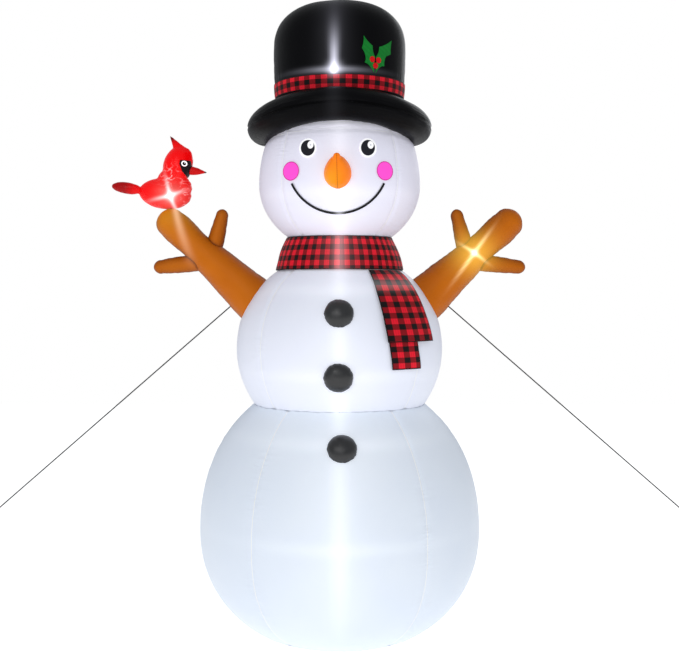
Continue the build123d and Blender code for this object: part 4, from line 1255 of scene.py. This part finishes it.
# Where the skin is creased, at the neck, the breast and the tail's root: x, z, how much flatter than wide,
# and how far it reaches.
BIRD_CREASES = ((-0.655, 1.768, 1.6, 0.045), (-0.598, 1.725, 1.0, 0.040), (-0.785, 1.735, 1.4, 0.030))
BEAK_STATIONS = [(0.0, 0.0175), (0.018, 0.0172), (0.036, 0.0142), (0.054, 0.0088), (0.066, 0.0045)]


def bird_skin():
    """Mesh of one even skin over body, neck, breast, head, tail and crest."""
    bm = bmesh.new()
    for start, tip, half_width in BIRD_EGGS:
        revolved_form(bm, start, tip, oval_stations(half_width))
    revolved_form(bm, (-0.604, 1.846), (-0.6645, 1.9350), CREST_STATIONS)
    raw = bpy.data.meshes.new("bird_forms")
    bm.to_mesh(raw)
    bm.free()
    form = in_scene("bird_forms", raw)
    remesh = form.modifiers.new("skin", "REMESH")
    remesh.mode = "VOXEL"
    remesh.voxel_size = 0.0032
    smooth = form.modifiers.new("soften", "SMOOTH")
    smooth.factor = 0.6
    smooth.iterations = 7
    bpy.context.view_layer.update()
    mesh = bpy.data.meshes.new_from_object(form.evaluated_get(bpy.context.evaluated_depsgraph_get()))
    bpy.data.objects.remove(form)
    return mesh


def bird():
    """One sewn skin held out by air, creased at the neck, the breast and the tail, and the beak."""
    mesh = bird_skin()
    moved = []
    for vertex in mesh.vertices:
        co, normal = vertex.co, vertex.normal
        seam = bell(co.y, 0.006)
        creased = sum(bell(math.hypot(co.x - x, (co.z - z) * flatter), reach)
                      for x, z, flatter, reach in BIRD_CREASES)
        creases = ripple(co.x * 60, co.y * 22, co.z * 75)
        slow = ripple(co.x * 24, co.y * 24, co.z * 24)
        depth = 0.0026 * creased * creases + 0.0008 * slow - 0.0010
        depth += 0.0006 * bell(co.y, 0.016) * ripple(co.x * 110, 3.0, co.z * 110) - 0.0008 * seam
        on_mask = co.x > -0.626 and 1.764 < co.z < 1.842
        moved.append(co + normal * (-0.0004 if on_mask else min(depth, 0.0006)))
    for vertex, point in zip(mesh.vertices, moved):
        vertex.co = point
    seams = [abs(vertex.co.y) for vertex in mesh.vertices]
    corners = [mesh.vertices[loop.vertex_index].co for loop in mesh.loops]
    obj = finished("bird_cloth", mesh, seams, [(co.y, co.x + co.z, 0.0) for co in corners], bird_glow)
    place(obj, BIRD_RED, "red_fabric", "bird_body", "bird_head", "bird_tail", "bird_crest")
    beak = limb("bird_beak_cloth", in_plane((-0.594, 1.8002)), in_plane((-0.5212, 1.7912)), BEAK_STATIONS, UP,
                None, 6.0, around=48, step=0.002)
    place(beak, BEAK_RED, "red_fabric", "bird_beak")


bird()


# ---- Blower cuff --------------------------------------------------------------------------------
CUFF_ROOT_Y, CUFF_END_Y, CUFF_BAND_Y = 0.462, 0.5735, 0.565


def cuff():
    """Sleeve of white cloth gathered round the blower under its band."""
    rows = []
    steps, around = 45, 216
    for i in range(steps + 1):
        y = CUFF_ROOT_Y + (CUFF_END_Y - CUFF_ROOT_Y) * i / steps
        row = []
        for j in range(around + 1):
            angle = TURN * j / around
            gathers = ripple(math.cos(angle) * 7.0, math.sin(angle) * 7.0, y * 10.0)
            off_band = ease(0.001, 0.012, abs(y - CUFF_BAND_Y) - 0.004)
            r = CUFF_R + 0.0002 + off_band * (0.0016 + 0.0028 * gathers)
            point = Vector((r * math.cos(angle), y, BLOWER_Z + r * math.sin(angle)))
            row.append(Spot(point, abs(y - CUFF_END_Y), r * angle, y))
        rows.append(row[::-1])
    piece = surface("blower_cuff_cloth", rows)
    place(piece, WHITE_LOW, "white_fabric", "blower_cuff")


cuff()


# ---- Pieces that keep the CAD mesh --------------------------------------------------------------
def toothed(name, colour, pitch):
    """Nylon coil round the axis: turns side by side."""
    s = Shading(name, 0.35)
    x, y, _ = s.place()
    teeth = s.wave(s.math("ARCTAN2", y, x), pitch / BELLY_R)
    # Painted shade: darker between the turns, in the grooves.
    s.colour(s.mix(s.scaled(teeth, 0.5, 0.5), toned(colour, 0.35), colour))
    s.bump(s.times(teeth, 0.0005))
    return s.material


def plain_cloth(name, colour, shade):
    """Flat sewn cloth without an air side."""
    s = Shading(name, 0.6, sheen=0.2)
    x, y, _ = s.place()
    s.colour(s.mix(s.noise(6.0), colour, shade))
    s.bump(s.total(s.weave(x, y, 0.00005), s.times(s.noise(14.0, detail=3.0), 0.002)))
    return s.material


def lens(name):
    """Clear lamp cap with a milky, ribbed body."""
    s = Shading(name, 0.15, coat=0.4)
    s.colour(s.mix(s.noise(60.0), srgb(240, 242, 246), srgb(214, 218, 226)))
    s.bump(s.times(s.wave(s.place()[2], 0.003), 0.0001))
    return s.material


def dress(slot, material, *nodes):
    """Gives CAD pieces that stay in view their finish."""
    for node in nodes:
        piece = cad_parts[node]
        piece.data.materials.clear()
        piece.data.materials.append(material)


dress("white_fabric", plain_cloth("base_cloth", srgb(224, 230, 240), srgb(206, 214, 228)), "base_panel")
dress("black_webbing", WEBBING, "cuff_band", "stake_tabs", "tether_patches")
dress("housing_plastic", moulded("housing_black", srgb(28, 28, 30)),
      "blower_housing", "motor_mount", "impeller")
dress("housing_plastic", moulded("grille_black", srgb(22, 22, 24), 0.5, 0.0001),
      "intake_grille", "power_inlet")
dress("motor_steel", metal("motor_steel", srgb(170, 172, 176), 0.38), "motor", "motor_shaft")
dress("ring_steel", metal("ring_steel", srgb(188, 190, 194), 0.25), "tether_rings")
dress("grommet_brass", metal("grommet_brass", srgb(206, 172, 98), 0.3), "stake_grommets")
dress("zipper_tape_cloth", webbing("zipper_tape_weave", srgb(214, 216, 220), 0.0014), "zipper_tape")
dress("zipper_nylon", toothed("zipper_teeth", srgb(226, 228, 232), 0.0016), "zipper_coil")
dress("zipper_metal", metal("zipper_nickel", srgb(196, 196, 198), 0.28),
      "zipper_slider", "zipper_pull", "zipper_stops")
dress("cable_pvc", moulded("lead_pvc", srgb(20, 20, 21), 0.4, 0.00003), "led_lead")
dress("lamp_lens", lens("lamp_lens"), "led_modules")
dress("eye_print", eye_print("eye_left", 0.12), "eye_left")
dress("eye_print", eye_print("eye_right", -0.12), "eye_right")
for side_name in SIDES:
    dress("pink_fabric", cheek_print("cheek_" + side_name), "cheek_" + side_name)
dress("black_fabric", smile_print(), "smile_line")
dress("green_fabric", leaf_print(), "holly_leaves")
dress("black_fabric", bird_mask_print(), "bird_mask")
dress("eye_print", bird_eye_print(), "bird_eyes")


# ---- Ground, sky and light ----------------------------------------------------------------------
FLOOR_HALF, FLOOR_Z = 8.0, -0.001
FLOOR_GLOW, SKY_LIGHT = 0.84, 0.55


def floor():
    """Wide white ground that fades into the white behind it."""
    mesh = bpy.data.meshes.new("ground")
    corners = [(x * FLOOR_HALF, y * FLOOR_HALF, FLOOR_Z) for x, y in ((-1, -1), (1, -1), (1, 1), (-1, 1))]
    mesh.from_pydata(corners, [], [(0, 1, 2, 3)])
    ground = in_scene("ground", mesh)
    s = Shading("ground_white", 0.9)
    s.colour(s.mix(s.noise(3.0), srgb(190, 190, 190), srgb(186, 186, 186)))
    s.shader.inputs["Emission Color"].default_value = (1.0, 1.0, 1.0, 1.0)
    s.shader.inputs["Emission Strength"].default_value = FLOOR_GLOW
    mesh.materials.append(s.material)


def sky():
    """White surroundings: full white to the camera, softer as a light."""
    world = bpy.data.worlds.new("sky")
    bpy.context.scene.world = world
    world.use_nodes = True
    tree = world.node_tree
    tree.nodes.clear()
    output, seen, lit = (tree.nodes.new(kind) for kind in (
        "ShaderNodeOutputWorld", "ShaderNodeBackground", "ShaderNodeBackground"))
    either, path = tree.nodes.new("ShaderNodeMixShader"), tree.nodes.new("ShaderNodeLightPath")
    seen.inputs["Color"].default_value = (1.0, 1.0, 1.0, 1.0)
    seen.inputs["Strength"].default_value = 1.0
    lit.inputs["Color"].default_value = (0.93, 0.96, 1.0, 1.0)
    lit.inputs["Strength"].default_value = SKY_LIGHT
    tree.links.new(path.outputs["Is Camera Ray"], either.inputs[0])
    tree.links.new(lit.outputs[0], either.inputs[1])
    tree.links.new(seen.outputs[0], either.inputs[2])
    tree.links.new(either.outputs[0], output.inputs[0])


def lamp(name, place_at, aim, size, watts, colour=(1.0, 1.0, 1.0)):
    light = bpy.data.lights.new(name, "AREA")
    light.shape = "DISK"
    light.size = size
    light.energy = watts
    light.color = colour
    obj = in_scene(name, light)
    obj.location = place_at
    obj.rotation_euler = (Vector(aim) - Vector(place_at)).to_track_quat("-Z", "Y").to_euler()


floor()
sky()
lamp("key", (-1.4, -5.0, 3.4), (0.0, 0.0, 1.2), 2.6, 42.0)
lamp("back", (2.0, 4.5, 3.4), (0.0, 0.0, 1.2), 3.0, 36.0, (0.95, 0.97, 1.0))
bpy.context.scene.view_settings.view_transform = "Standard"
